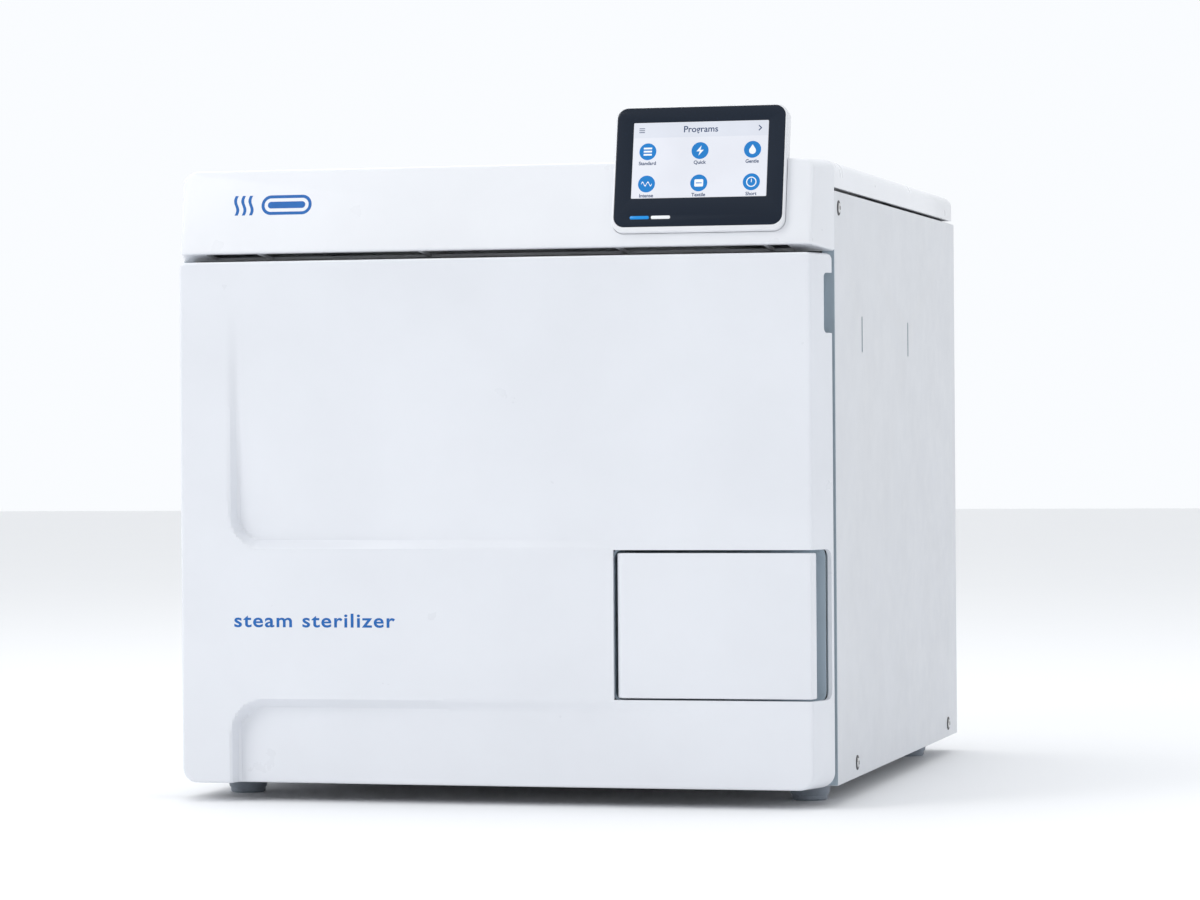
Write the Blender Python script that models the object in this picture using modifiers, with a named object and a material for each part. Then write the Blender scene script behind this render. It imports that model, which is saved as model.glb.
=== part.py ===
"""Benchtop steam autoclave in metres, +Z up.

The origin lies under the middle of the object, on the surface that its feet stand on.
The door faces -Y, and +X is to the right of a person who faces the door.
"""

import math

import bmesh
import bpy
from mathutils import Matrix, Vector

# Overall sizes
WIDTH = 0.550  # over the side panels
DEPTH = 0.645  # from the door's face to the rear edges
HEIGHT = 0.518  # from the bench to the top cover
FOOT_HEIGHT = 0.016  # from the bench to the casing's lower edge

# Walls and clearances
SHEET = 0.0015  # folded sheet metal
MOULDED = 0.003  # moulded covers
TOUCH = 0.0003  # between pieces that touch
RUNNING = 0.0010  # round moving pieces
PASSING = 0.0030  # round a piece that swings through an opening
FLANGE = 0.010  # turned edges of the side panels
REAR_FLANGE = 0.014  # turned upper edge of the rear panel
BASE_FLANGE = 0.022  # turned edges of the base plate

# Slots in the side panels
SLOT_FRONT = 0.164  # behind the door's face
SLOT_REAR = 0.387
SLOT_WIDTH = 0.004
SLOT_HEIGHT = 0.031
SLOT_DROP = 0.0975  # from the panel's upper edge

# Header and top cover
HEADER_HEIGHT = 0.0688
HEADER_NOSE = 0.003  # header's lower front edge, behind the door's face
HEADER_LEAN = 0.015  # how far its face leans back over its height
HEADER_DROP = 0.0046  # how far its underside falls towards the rear
HEADER_WALL = 0.0022
VENT_END = 0.030  # closed length at each end of the vent in its underside
VENT_LIP = 0.006  # closed width in front of the vent
VENT_RIB = 0.003
VENT_RIBS = (0.096, 0.376, 0.713, 0.960)  # places of the ribs along the vent
TOP_EDGE_RADIUS = 0.009
TOP_SKIRT = 0.0223
TOP_REAR_INSET = 0.013
PANEL_GAP = 0.0026  # between side panel and top cover

# Door
DOOR_DEPTH = 0.034
DOOR_INSET = 0.0115  # door's face is this much narrower than the casing, each side
DOOR_FLARE = 0.0105  # its side strips widen by this much towards the rear
DOOR_HEADER_GAP = 0.0069
DOOR_CASE_GAP = 0.010
DOOR_OVERHANG = 0.0005  # how far it reaches below the casing
DOOR_CORNER = 0.012
RECESS_DEPTH = 0.013
RECESS_WALL = 0.010
RECESS_RADIUS = 0.030
RECESS_COLUMN = 0.041  # raised column at the left
RECESS_FADE = 0.033  # the upper recess ends this far below the door's upper edge
UPPER_RECESS_LOW = 0.2065  # above the bench
LOWER_RECESS_TOP = 0.0853
INNER_COVER = 0.002
INNER_COVER_SEAT = 0.0015  # from its rear to the door cover's rim
COVER_CLEAR = 0.0012  # between it and the door cover's walls

# Hinge
HINGE_INSET = 0.021  # axis from the casing's left side
HINGE_DEPTH = 0.020  # axis behind the door's face
HINGE_PIN_RADIUS = 0.004
HINGE_EYE_RADIUS = 0.007
HINGE_KNUCKLE = 0.078  # height of the door's knuckle
HINGE_FINGER = 0.014
HINGE_PLATE = 0.008
HINGE_FOOT = 0.019  # how far the bracket reaches from the axis towards the chamber
HINGE_SLOT_FRONT = 0.0075  # depth at which the door cover's hinge slot starts
BAR_THICKNESS = 0.010
BAR_HEIGHT = 0.060

# Closing grip
GRIP_LEFT = 0.1037
GRIP_LOW = 0.0877
GRIP_HEIGHT = 0.1162
GRIP_THICKNESS = 0.009
GRIP_GAP = 0.0024
GRIP_LOWER_GAP = 0.00144
GRIP_STRIP_GAP = 0.0010  # how far its right side stays inside the door's strip
GRIP_EDGE = 0.006  # rounding of its left edge
GRIP_RECESS_DEPTH = 0.0297
GRIP_RECESS_WALL = 0.002
GRIP_RECESS_RADIUS = 0.007
GRIP_PIN_RADIUS = 0.0025
GRIP_PIN_INSET = 0.0068  # pin from the grip's left edge
BOSS_HALF = 0.006
BOSS_INSET = 0.004  # from the grip's ends
BOSS_WALL = 0.0020  # round the pin's bore
SPRING_ROOM = 0.011
SPRING_WIRE = 0.0006
SPRING_TURNS = 6
SPRING_STEPS = 12

# Notch that gives access to the mains switch
NOTCH_LOW = 0.3786
NOTCH_HEIGHT = 0.048
NOTCH_DEPTH = 0.013
NOTCH_REACH = 0.015  # into the casing's width
NOTCH_RADIUS = 0.004
SWITCH_MARGIN = 0.002  # between the notch and the switch's frame
SWITCH_REACH = 0.035
ROCKER_TILT = 7
ROCKER_HALF_Z = 0.010
ROCKER_HALF_Y = 0.0055
ROCKER_FACE = 0.0042  # ridge from the rocker's axis
ROCKER_ROOT = 0.0035
ROCKER_INSET = 0.0040  # its axis from the frame's outer side

# Lock
STRIKER_INSET = 0.040  # striker from the casing's right side
STRIKER_REACH = 0.032  # from the lock's pivot to the striker's pin
STRIKER_PIN_RADIUS = 0.004
STRIKER_NOSE = 0.0025  # material behind the striker's pin
STRIKER_ROOT = 0.010
STRIKER_HALF = 0.0065
STRIKER_TALL = 0.0125
LOCK_SETBACK = 0.052  # lock's pivot behind the front panel
LOCK_PLATE = 0.006
LOCK_WALL = 0.004
LOCK_SPACE = 0.0035  # beside the claw, over its running clearance
CLAW_THICKNESS = 0.010
CLAW_BORE = 0.005
CLAW_RIM = 0.007  # width of the claw's finger
CLAW_REST = 75  # degrees from the striker's direction to the claw's mouth at rest
CLAW_TAIL = 45  # length of the claw's finger in degrees
CLAW_ROOT = 14  # degrees of solid rim behind the finger's slot
LOCK_MOTOR_RADIUS = 0.019
LOCK_MOTOR_HEIGHT = 0.060

# Display
DISPLAY_WIDTH = 0.1412
DISPLAY_HEIGHT = 0.104
DISPLAY_THICKNESS = 0.014
DISPLAY_RIGHT = 0.0325  # from the casing's right side
DISPLAY_RISE = 0.0105  # from the header's lower edge
DISPLAY_PROUD = 0.005
DISPLAY_RADIUS = 0.0095
GLASS_RIM = 0.00185
GLASS_TOP_RIM = 0.0013
GLASS_CHIN = 0.0042
GLASS_THICKNESS = 0.002
SCREEN_WIDTH = 0.1102
SCREEN_HEIGHT = 0.0625
SCREEN_RISE = 0.0237  # from the glass's lower edge
LIGHT_LENGTH = 0.0155
LIGHT_HEIGHT = 0.0025
LIGHT_RADIUS = 0.001
LIGHT_RISE = 0.0065
LIGHT_GAP = 0.0019
LIGHT_LEAD = 0.0004  # how far they start left of the screen

# Pressure chamber
CHAMBER_RADIUS = 0.125
CHAMBER_DEPTH = 0.430
CHAMBER_Z = 0.245
CHAMBER_WALL = 0.0035
CHAMBER_DISH = 0.025
CHAMBER_FLANGE = 0.0195
FLANGE_THICKNESS = 0.012
INSULATION = 0.020
HEATER_LENGTH = 0.048
HEATER_THICKNESS = 0.006
HEATER_END = 0.012  # from the heater to the chamber's dished end
GASKET_THICKNESS = 0.003
GASKET_WIDTH = 0.0105
GASKET_INSET = 0.003  # from the chamber's bore
PLATE_THICKNESS = 0.0105
PLATE_INSET = 0.0045  # plate's edge inside the chamber's flange
PLATE_CHAMFER = 0.002
PLATE_GAP = 0.0005
HUB_RADIUS = 0.055
STAND_START = 0.1505  # behind the chamber's front
STAND_LENGTH = 0.1505
STAND_HALF = 0.1116
STAND_RISE = 0.1190  # its top below the chamber's axis
STAND_WALL = 0.004
STAND_FOOTING = 0.050

# Trays
RACK_ANGLE = 43.8  # degrees from straight down to where the rack's edges rest in the chamber
RACK_TOP_CLEAR = 0.0133  # from its upper edges to the chamber
RACK_SETBACK = 0.020
RACK_END = 0.030  # free depth behind it
RACK_SHEET = 0.002
SHELF_LIP = 0.008
TRAY_COUNT = 3
TRAY_DEPTH = 0.018
TRAY_SHEET = 0.001
TRAY_INSET = 0.004  # from the rack's ends

# Water tanks
TANK_WALL = 0.0025
TANK_HEADROOM = 0.004
TANK_SETBACK = 0.020  # behind the front panel
TANK_REAR_ROOM = 0.110
TANK_SIDE_ROOM = 0.001  # to the side panels' turned edges
TANK_DIVIDE = 0.030

# Fasteners and feet
SCREW_RADIUS = 0.0046
SCREW_DOME = 0.0018
SCREW_LOW = 0.0124  # from the panel's lower edge
SCREW_DROP = 0.0133  # from its upper edge
SCREW_DEPTHS = (0.018, 0.084, 0.053)  # two from the casing's front, one from its rear
FOOT_TOP_RADIUS = 0.0171
FOOT_LOW_RADIUS = 0.0145
FOOT_INSET = 0.034
FOOT_FRONT = 0.100
FOOT_REAR = 0.075  # from the rear edge

# Fan, condenser and rear
FAN_RADIUS = 0.056
FAN_THICKNESS = 0.025
FAN_RIM = 0.004
FAN_SIDE = 0.0162  # from the fan's frame to the casing's wall
FAN_Z = 0.150
FAN_HUB = 0.018
FAN_SPOKE = 0.006
FAN_SPOKE_THICKNESS = 0.003
BLADE_COUNT = 7
BLADE_PITCH = 32
BLADE_WIDTH = 0.022
BLADE_THICKNESS = 0.0015
GRILLE_ROWS = 8
CONDENSER_LENGTH = 0.040
CONDENSER_FINS = 14
CONDENSER_SPINE = 0.010
FIN_SHARE = 0.35  # of the pitch of the fins
INLET_INSET = 0.085  # from the casing's side
INLET_Z = 0.080
INLET_WIDTH = 0.028
INLET_HEIGHT = 0.020
INLET_DEPTH = 0.022
INLET_RIM = 0.004
INLET_PROUD = 0.0014
INLET_WALL = 0.002
RESET_RISE = 0.045  # above the inlet
RESET_RADIUS = 0.004
RESET_COLLAR = 0.0020
RESET_PROUD = 0.0012
VALVE_X = 0.060
VALVE_RISE = 0.070  # above the chamber's axis
VALVE_RADIUS = 0.011
VALVE_STEM = 0.008
VALVE_CAP_RADIUS = 0.012
VALVE_CAP_LENGTH = 0.022
CHAMFER = 0.002  # of small turned pieces

# Pump, valves, board and filter
PUMP_RADIUS = 0.036
PUMP_LENGTH = 0.120
PUMP_SIDE = 0.016  # from the casing's wall
PUMP_RISE = 0.008
PUMP_SETBACK = 0.120  # behind the lock's pivot
PUMP_HEAD = 0.032
PUMP_HEAD_LENGTH = 0.055
PUMP_LAP = 0.005  # how far its head sits on its motor
MANIFOLD_SIDE = 0.040
MANIFOLD_START = 0.200
MANIFOLD_LENGTH = 0.150
MANIFOLD_HALF = 0.016
MANIFOLD_HEIGHT = 0.030
SOLENOIDS = 4
SOLENOID_RADIUS = 0.014
SOLENOID_HEIGHT = 0.034
BOARD_SIDE = 0.012
BOARD_DROP = 0.190  # its lower edge below the tanks
BOARD_HEIGHT = 0.160
BOARD_START = 0.200
BOARD_LENGTH = 0.230
BOARD_THICKNESS = 0.0016
FILTER_INSET = 0.075
FILTER_Z = 0.080
FILTER_RADIUS = 0.020
FILTER_LENGTH = 0.075
FILTER_CAP = 0.008
FILTER_RIM = 0.004
NOZZLE_RADIUS = 0.006
NOZZLE_LENGTH = 0.010

ROUND = 40  # segments of large round pieces
SMALL_ROUND = 20

FINISHES = {
    "white_cover": ((0.86, 0.87, 0.90), 0.35, 0.0),
    "painted_sheet": ((0.76, 0.78, 0.82), 0.45, 0.0),
    "grey_plastic": ((0.26, 0.31, 0.36), 0.55, 0.0),
    "dark_plastic": ((0.03, 0.03, 0.035), 0.5, 0.0),
    "glass": ((0.01, 0.012, 0.016), 0.08, 0.0),
    "screen": ((0.78, 0.84, 0.90), 0.2, 0.0),
    "light": ((0.10, 0.40, 0.80), 0.3, 0.0),
    "stainless": ((0.60, 0.60, 0.60), 0.28, 1.0),
    "zinc": ((0.55, 0.56, 0.58), 0.4, 1.0),
    "brass": ((0.70, 0.50, 0.20), 0.3, 1.0),
    "silicone": ((0.75, 0.74, 0.70), 0.6, 0.0),
    "rubber": ((0.30, 0.34, 0.40), 0.8, 0.0),
    "foam": ((0.12, 0.12, 0.12), 0.95, 0.0),
    "tank": ((0.80, 0.82, 0.82), 0.5, 0.0),
    "board": ((0.02, 0.20, 0.08), 0.5, 0.0),
}


def ahead(distance):
    """Y of a place this far behind the door's face."""
    return distance - DEPTH / 2


HALF = WIDTH / 2
CASE_FRONT = DOOR_DEPTH + DOOR_CASE_GAP
PANEL_FRONT = CASE_FRONT + SHEET + TOUCH
PANEL_BACK = PANEL_FRONT + SHEET
REAR_BACK = DEPTH - SHEET - TOUCH
REAR_FRONT = REAR_BACK - SHEET
INNER_HALF = HALF - SHEET - TOUCH
BASE_Z = FOOT_HEIGHT + SHEET + TOUCH
BASE_TOP = BASE_Z + SHEET
FLOOR = BASE_TOP + TOUCH  # what stands on the base plate starts here
HEADER_LOW = HEIGHT - HEADER_HEIGHT
HEADER_TILT = math.atan2(HEADER_LEAN, HEADER_HEIGHT)
DOOR_LOW = FOOT_HEIGHT - DOOR_OVERHANG
DOOR_HIGH = HEADER_LOW - DOOR_HEADER_GAP
DOOR_HALF = HALF - DOOR_INSET
RECESS_LEFT = RECESS_COLUMN - DOOR_HALF
SKIRT_LOW = HEIGHT - TOP_SKIRT
SIDE_TOP = SKIRT_LOW - PANEL_GAP
PANEL_TOP = SIDE_TOP - SHEET - TOUCH

HINGE_X = HINGE_INSET - HALF
HINGE_TALL = HINGE_KNUCKLE / 2 + HINGE_FINGER
BAR_FRONT = HINGE_DEPTH - 0.15 * BAR_THICKNESS
BAR_BACK = BAR_FRONT + BAR_THICKNESS
COVER_BACK = DOOR_DEPTH - INNER_COVER_SEAT
COVER_FRONT = COVER_BACK - INNER_COVER
PLATE_FRONT = COVER_BACK + PLATE_GAP
PLATE_BACK = PLATE_FRONT + PLATE_THICKNESS
GASKET_FRONT = PLATE_BACK + TOUCH
GASKET_INNER = CHAMBER_RADIUS + GASKET_INSET

CHAMBER_FRONT = GASKET_FRONT + GASKET_THICKNESS + TOUCH
CHAMBER_END = CHAMBER_FRONT + CHAMBER_DEPTH
CHAMBER_OUTER = CHAMBER_RADIUS + CHAMBER_WALL
CHAMBER_FLAT = CHAMBER_RADIUS * math.cos(math.pi / ROUND) - TOUCH  # inside the bore's flats
FLANGE_RADIUS = CHAMBER_RADIUS + CHAMBER_FLANGE
INSULATION_INNER = CHAMBER_OUTER + TOUCH
INSULATION_OUTER = INSULATION_INNER + INSULATION
RACK_HALF = CHAMBER_FLAT * math.sin(math.radians(RACK_ANGLE))
RACK_LOW = CHAMBER_Z - CHAMBER_FLAT * math.cos(math.radians(RACK_ANGLE))
RACK_HIGH = CHAMBER_Z + math.sqrt((CHAMBER_FLAT - RACK_TOP_CLEAR) ** 2 - RACK_HALF**2)
RACK_START = CHAMBER_FRONT + RACK_SETBACK
RACK_LENGTH = CHAMBER_DEPTH - RACK_SETBACK - RACK_END
TANK_LOW = CHAMBER_Z + INSULATION_OUTER + TOUCH
TANK_HIGH = PANEL_TOP - TANK_HEADROOM

GRIP_HIGH = GRIP_LOW + GRIP_HEIGHT
GRIP_MIDDLE = GRIP_LOW + GRIP_HEIGHT / 2
GRIP_PIN_X = GRIP_LEFT + GRIP_PIN_INSET
GRIP_PIN_DEPTH = GRIP_THICKNESS + GRIP_PIN_RADIUS + BOSS_WALL + 0.0005
STRIKER_X = HALF - STRIKER_INSET
LOCK_PIVOT_DEPTH = PANEL_BACK + LOCK_SETBACK
STRIKER_DEPTH = LOCK_PIVOT_DEPTH - STRIKER_REACH
CLAW_ROOM = CLAW_THICKNESS / 2 + RUNNING
LOCK_LOW = CHAMBER_Z - CLAW_ROOM - LOCK_SPACE - LOCK_PLATE

SWITCH_LOW = NOTCH_LOW + SWITCH_MARGIN
SWITCH_HEIGHT = NOTCH_HEIGHT - 2 * SWITCH_MARGIN
SWITCH_MIDDLE = SWITCH_LOW + SWITCH_HEIGHT / 2
SWITCH_LEFT = HALF - SWITCH_REACH
SWITCH_RIGHT = HALF - FLANGE - RUNNING
SWITCH_FRONT = DOOR_DEPTH - NOTCH_DEPTH + SWITCH_MARGIN
ROCKER_X = SWITCH_RIGHT - ROCKER_INSET
ROCKER_DEPTH = SWITCH_FRONT + ROCKER_HALF_Y + 0.003

DISPLAY_LEFT = HALF - DISPLAY_RIGHT - DISPLAY_WIDTH
DISPLAY_BACK = DISPLAY_THICKNESS - DISPLAY_PROUD
GLASS_WIDTH = DISPLAY_WIDTH - 2 * GLASS_RIM
GLASS_HEIGHT = DISPLAY_HEIGHT - GLASS_CHIN - GLASS_TOP_RIM
GLASS_LEFT = DISPLAY_LEFT + GLASS_RIM
SCREEN_LEFT = GLASS_LEFT + (GLASS_WIDTH - SCREEN_WIDTH) / 2
SCREEN_LOW = GLASS_CHIN + SCREEN_RISE
LIGHT_LOW = GLASS_CHIN + LIGHT_RISE

FAN_FRAME = FAN_RADIUS + FAN_RIM
FAN_X = FAN_SIDE + FAN_FRAME - INNER_HALF
FAN_BACK = REAR_FRONT - TOUCH
FAN_FRONT = FAN_BACK - FAN_THICKNESS
INLET_X = HALF - INLET_INSET
RESET_Z = INLET_Z + RESET_RISE
VALVE_Z = CHAMBER_Z + VALVE_RISE
FILTER_X = FILTER_INSET - HALF


def strip_x(depth):
    """Outer side of the door's right strip at this depth."""
    return DOOR_HALF + DOOR_FLARE * depth / DOOR_DEPTH


# Scene helpers


def clear_scene():
    for thing in list(bpy.data.objects):
        bpy.data.objects.remove(thing)


def collection_named(name):
    made = bpy.data.collections.new(name)
    bpy.context.scene.collection.children.link(made)
    return made


clear_scene()
PARTS = collection_named("benchtop_autoclave")
CUTTERS = collection_named("cutters")
CUTTERS.hide_render = True


def material_for(name, finish):
    colour, roughness, metallic = FINISHES[finish]
    made = bpy.data.materials.new(name)
    made.use_nodes = True
    shader = made.node_tree.nodes["Principled BSDF"]
    shader.inputs["Base Color"].default_value = (*colour, 1.0)
    shader.inputs["Roughness"].default_value = roughness
    shader.inputs["Metallic"].default_value = metallic
    return made


def place(name, mesh, finish=None):
    """A new object: a sub-part with its own material, or a cutter when it has no finish."""
    thing = bpy.data.objects.new(name, mesh)
    if finish is None:
        CUTTERS.objects.link(thing)
        thing.hide_render = True
        thing.display_type = "WIRE"
    else:
        PARTS.objects.link(thing)
        if not mesh.materials:
            mesh.materials.append(material_for(name, finish))
    return thing


def mesh_from(name, bm):
    mesh = bpy.data.meshes.new(name)
    bmesh.ops.recalc_face_normals(bm, faces=bm.faces)
    bm.to_mesh(mesh)
    bm.free()
    return mesh


def smooth(mesh, degrees=35):
    mesh.shade_smooth()
    mesh.set_sharp_from_angle(angle=math.radians(degrees))


def add_box(bm, low, high):
    """A box between two corners, whose depths count from the door's face."""
    size = Vector(high) - Vector(low)
    middle = (Vector(high) + Vector(low)) / 2
    middle.y -= DEPTH / 2
    spread = Matrix.Translation(middle) @ Matrix.Diagonal((*size, 1.0))
    return bmesh.ops.create_cube(bm, size=1.0, matrix=spread)["verts"]


def box(name, low, high, finish=None, bevel=0.0, segments=2):
    bm = bmesh.new()
    add_box(bm, low, high)
    if bevel:
        bmesh.ops.bevel(bm, geom=bm.edges[:], offset=bevel, segments=segments, affect="EDGES", profile=0.5)
    return place(name, mesh_from(name, bm), finish)


def boxes(name, corners, finish=None):
    """Several separate boxes in one object, for a union or a cut."""
    bm = bmesh.new()
    for low, high in corners:
        add_box(bm, low, high)
    return place(name, mesh_from(name, bm), finish)


AXES = {
    "X": Matrix.Rotation(math.radians(90), 4, "Y"),
    "Y": Matrix.Rotation(math.radians(-90), 4, "X"),
    "Z": Matrix.Identity(4),
}


def add_cylinder(bm, centre, radius, length, axis="Z", segments=SMALL_ROUND, far_radius=None):
    """A cylinder or cone about its centre; far_radius is at the axis's positive end."""
    x, depth, z = centre
    at = Matrix.Translation((x, ahead(depth), z)) @ AXES[axis]
    far = radius if far_radius is None else far_radius
    made = bmesh.ops.create_cone(
        bm, cap_ends=True, segments=segments, radius1=radius, radius2=far, depth=length, matrix=at
    )
    return made["verts"]


def cylinder(name, centre, radius, length, axis="Z", finish=None, segments=SMALL_ROUND, far_radius=None):
    bm = bmesh.new()
    add_cylinder(bm, centre, radius, length, axis, segments, far_radius)
    mesh = mesh_from(name, bm)
    smooth(mesh)
    return place(name, mesh, finish)


def open_box(name, low, high, wall, open_sides, finish, edit=None):
    """A folded or moulded shell: a box without its open sides, thickened inwards."""
    bm = bmesh.new()
    add_box(bm, low, high)
    bmesh.ops.recalc_face_normals(bm, faces=bm.faces)
    gone = [face for face in bm.faces if any(face.normal.dot(Vector(side)) > 0.9 for side in open_sides)]
    bmesh.ops.delete(bm, geom=gone, context="FACES")
    if edit:
        edit(bm)
    mesh = bpy.data.meshes.new(name)
    bm.to_mesh(mesh)
    bm.free()
    thing = place(name, mesh, finish)
    thicken(thing, wall)
    return thing


def thicken(thing, wall):
    solid = thing.modifiers.new("wall", "SOLIDIFY")
    solid.thickness = wall
    solid.offset = -1.0
    solid.use_even_offset = True


def boolean(target, other, operation):
    step = target.modifiers.new(other.name, "BOOLEAN")
    step.operation = operation
    step.object = other
    step.solver = "EXACT"


def cut(target, *cutters):
    for cutter in cutters:
        boolean(target, cutter, "DIFFERENCE")


def join(target, *others):
    for other in others:
        boolean(target, other, "UNION")


def turned(name, profile, centre, axis, finish=None, segments=ROUND, closed=True):
    """A turned piece. The profile is (radius, height) and runs down its outer side first."""
    bm = bmesh.new()
    points = [bm.verts.new((radius, 0.0, height)) for radius, height in profile]
    for first, second in zip(points, points[1:]):
        bm.edges.new((first, second))
    if closed:
        bm.edges.new((points[-1], points[0]))
    mesh = bpy.data.meshes.new(name)
    bm.to_mesh(mesh)
    bm.free()
    thing = place(name, mesh, finish)
    x, depth, z = centre
    thing.matrix_world = Matrix.Translation((x, ahead(depth), z)) @ AXES[axis]
    screw = thing.modifiers.new("turn", "SCREW")
    screw.steps = segments
    screw.render_steps = segments
    screw.use_merge_vertices = True
    screw.merge_threshold = 0.00001
    screw.use_smooth_shade = True
    return thing


def arc(centre, radius, start, end, steps):
    """Points along an arc, with its angles in degrees."""
    x, y = centre
    found = []
    for step in range(steps + 1):
        angle = math.radians(start + (end - start) * step / steps)
        found.append((x + radius * math.cos(angle), y + radius * math.sin(angle)))
    return found


def rounded_rectangle(left, low, width, height, radius, steps=4):
    right = left + width
    high = low + height
    corners = (
        ((right - radius, high - radius), 0),
        ((left + radius, high - radius), 90),
        ((left + radius, low + radius), 180),
        ((right - radius, low + radius), 270),
    )
    return [point for centre, start in corners for point in arc(centre, radius, start, start + 90, steps)]


def outline_plate(name, loops, thickness, finish=None):
    """A flat plate in the XY plane, thickness to both sides of it, from outlines with holes."""
    curve = bpy.data.curves.new(name, "CURVE")
    curve.dimensions = "2D"
    curve.fill_mode = "BOTH"
    curve.extrude = thickness / 2
    for loop in loops:
        spline = curve.splines.new("POLY")
        spline.points.add(len(loop) - 1)
        for point, (x, y) in zip(spline.points, loop):
            point.co = (x, y, 0.0, 1.0)
        spline.use_cyclic_u = True
    shape = bpy.data.objects.new(name, curve)
    bpy.context.scene.collection.objects.link(shape)
    bpy.context.view_layer.update()
    graph = bpy.context.evaluated_depsgraph_get()
    flat = bpy.data.meshes.new_from_object(shape.evaluated_get(graph))
    bpy.data.objects.remove(shape)
    bm = bmesh.new()
    bm.from_mesh(flat)
    bpy.data.meshes.remove(flat)
    bmesh.ops.remove_doubles(bm, verts=bm.verts, dist=0.00001)
    return place(name, mesh_from(name, bm), finish)


UPRIGHT = Matrix.Rotation(math.radians(90), 4, "X")  # plate's XY plane to world XZ


def upright(thing, depth):
    """Stands a plate up so that its middle plane faces the door at this depth."""
    thing.data.transform(Matrix.Translation((0, ahead(depth), 0)) @ UPRIGHT)
    return thing


def hang(name, at, pieces):
    """An empty on a joint's axis, which carries the pieces that move about it."""
    pivot = bpy.data.objects.new(name, None)
    PARTS.objects.link(pivot)
    x, depth, z = at
    place_on_axis = Matrix.Translation((x, ahead(depth), z))
    pivot.matrix_world = place_on_axis
    for piece in pieces:
        thing = bpy.data.objects[piece]
        thing.parent = pivot
        thing.matrix_parent_inverse = place_on_axis.inverted()


# Casing


def build_base_plate():
    open_box(
        "base_plate",
        (-INNER_HALF, PANEL_BACK + TOUCH, BASE_Z),
        (INNER_HALF, REAR_FRONT - TOUCH, BASE_Z + BASE_FLANGE),
        SHEET,
        [(0, 0, 1)],
        "zinc",
    )


def build_side_panel(name, side):
    inner, outer = sorted((side * HALF, side * (HALF - FLANGE)))
    panel = open_box(
        name,
        (inner, CASE_FRONT, FOOT_HEIGHT),
        (outer, DEPTH, SIDE_TOP),
        SHEET,
        [(-side, 0, 0)],
        "painted_sheet",
    )
    slot_high = SIDE_TOP - SLOT_DROP
    slots = [
        (
            (side * HALF - 2 * SHEET, depth - SLOT_WIDTH / 2, slot_high - SLOT_HEIGHT),
            (side * HALF + 2 * SHEET, depth + SLOT_WIDTH / 2, slot_high),
        )
        for depth in (SLOT_FRONT, SLOT_REAR)
    ]
    cut(panel, boxes(name + "_slots", slots))


def build_side_screws(side, word):
    """Dome-head screws that hold a side panel."""
    places = (
        (CASE_FRONT + SCREW_DEPTHS[0], SIDE_TOP - SCREW_DROP),
        (CASE_FRONT + SCREW_DEPTHS[1], FOOT_HEIGHT + SCREW_LOW),
        (DEPTH - SCREW_DEPTHS[2], FOOT_HEIGHT + SCREW_LOW),
    )
    for number, (depth, z) in enumerate(places, start=1):
        name = f"side_screw_{word}_{number}"
        profile = [(0.0, SCREW_DOME)]
        for step in range(1, 5):
            angle = math.radians(90 * step / 5)
            profile.append((SCREW_RADIUS * math.sin(angle), SCREW_DOME * math.cos(angle)))
        profile += [(SCREW_RADIUS, 0.0), (0.0, 0.0)]
        screw = turned(name, profile, (0, 0, 0), "X", "stainless", SMALL_ROUND, closed=False)
        turn = Matrix.Rotation(math.radians(90 * side), 4, "Y")
        screw.matrix_world = Matrix.Translation((side * (HALF + TOUCH), ahead(depth), z)) @ turn


def build_rear_panel():
    panel = box(
        "rear_panel",
        (-INNER_HALF, REAR_FRONT, BASE_Z),
        (INNER_HALF, REAR_BACK, PANEL_TOP),
        "painted_sheet",
    )
    cut(panel, rear_grille(), *rear_holes())
    flange = box(
        "rear_flange",
        (-INNER_HALF, REAR_FRONT - REAR_FLANGE, PANEL_TOP - SHEET),
        (INNER_HALF, REAR_FRONT + SHEET / 2, PANEL_TOP),
    )
    join(panel, flange)


def rear_grille():
    """Slots behind the fan, each as long as the fan is wide at its height."""
    pitch = 2 * FAN_RADIUS / GRILLE_ROWS
    slots = []
    for row in range(GRILLE_ROWS):
        z = FAN_Z - FAN_RADIUS + (row + 0.5) * pitch
        reach = 0.94 * math.sqrt(FAN_RADIUS**2 - (z - FAN_Z) ** 2)
        low = (FAN_X - reach, REAR_FRONT - SHEET, z - 0.28 * pitch)
        slots.append((low, (FAN_X + reach, REAR_BACK + SHEET, z + 0.28 * pitch)))
    return boxes("rear_grille", slots)


def rear_holes():
    middle = (REAR_FRONT + REAR_BACK) / 2
    through = 4 * SHEET
    width = INLET_WIDTH / 2 + TOUCH
    height = INLET_HEIGHT / 2 + TOUCH
    return (
        cylinder("reset_hole", (INLET_X, middle, RESET_Z), RESET_RADIUS + TOUCH, through, "Y"),
        cylinder("valve_hole", (VALVE_X, middle, VALVE_Z), VALVE_CAP_RADIUS + RUNNING, through, "Y"),
        box(
            "inlet_hole",
            (INLET_X - width, middle - through / 2, INLET_Z - height),
            (INLET_X + width, middle + through / 2, INLET_Z + height),
        ),
    )


def build_front_panel():
    panel = box(
        "front_panel",
        (-INNER_HALF, PANEL_FRONT, BASE_Z),
        (INNER_HALF, PANEL_BACK, PANEL_TOP),
        "stainless",
    )
    middle = (PANEL_FRONT + PANEL_BACK) / 2
    through = 4 * SHEET
    mouth_radius = FLANGE_RADIUS + RUNNING
    mouth = cylinder("chamber_mouth", (0, middle, CHAMBER_Z), mouth_radius, through, "Y", segments=ROUND)
    slot = striker_way("striker_slot", middle - through, middle + through)
    filter_hole = cylinder("filter_hole", (FILTER_X, middle, FILTER_Z), FILTER_RADIUS + TOUCH, through, "Y")
    cut(panel, mouth, slot, filter_hole)


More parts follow.
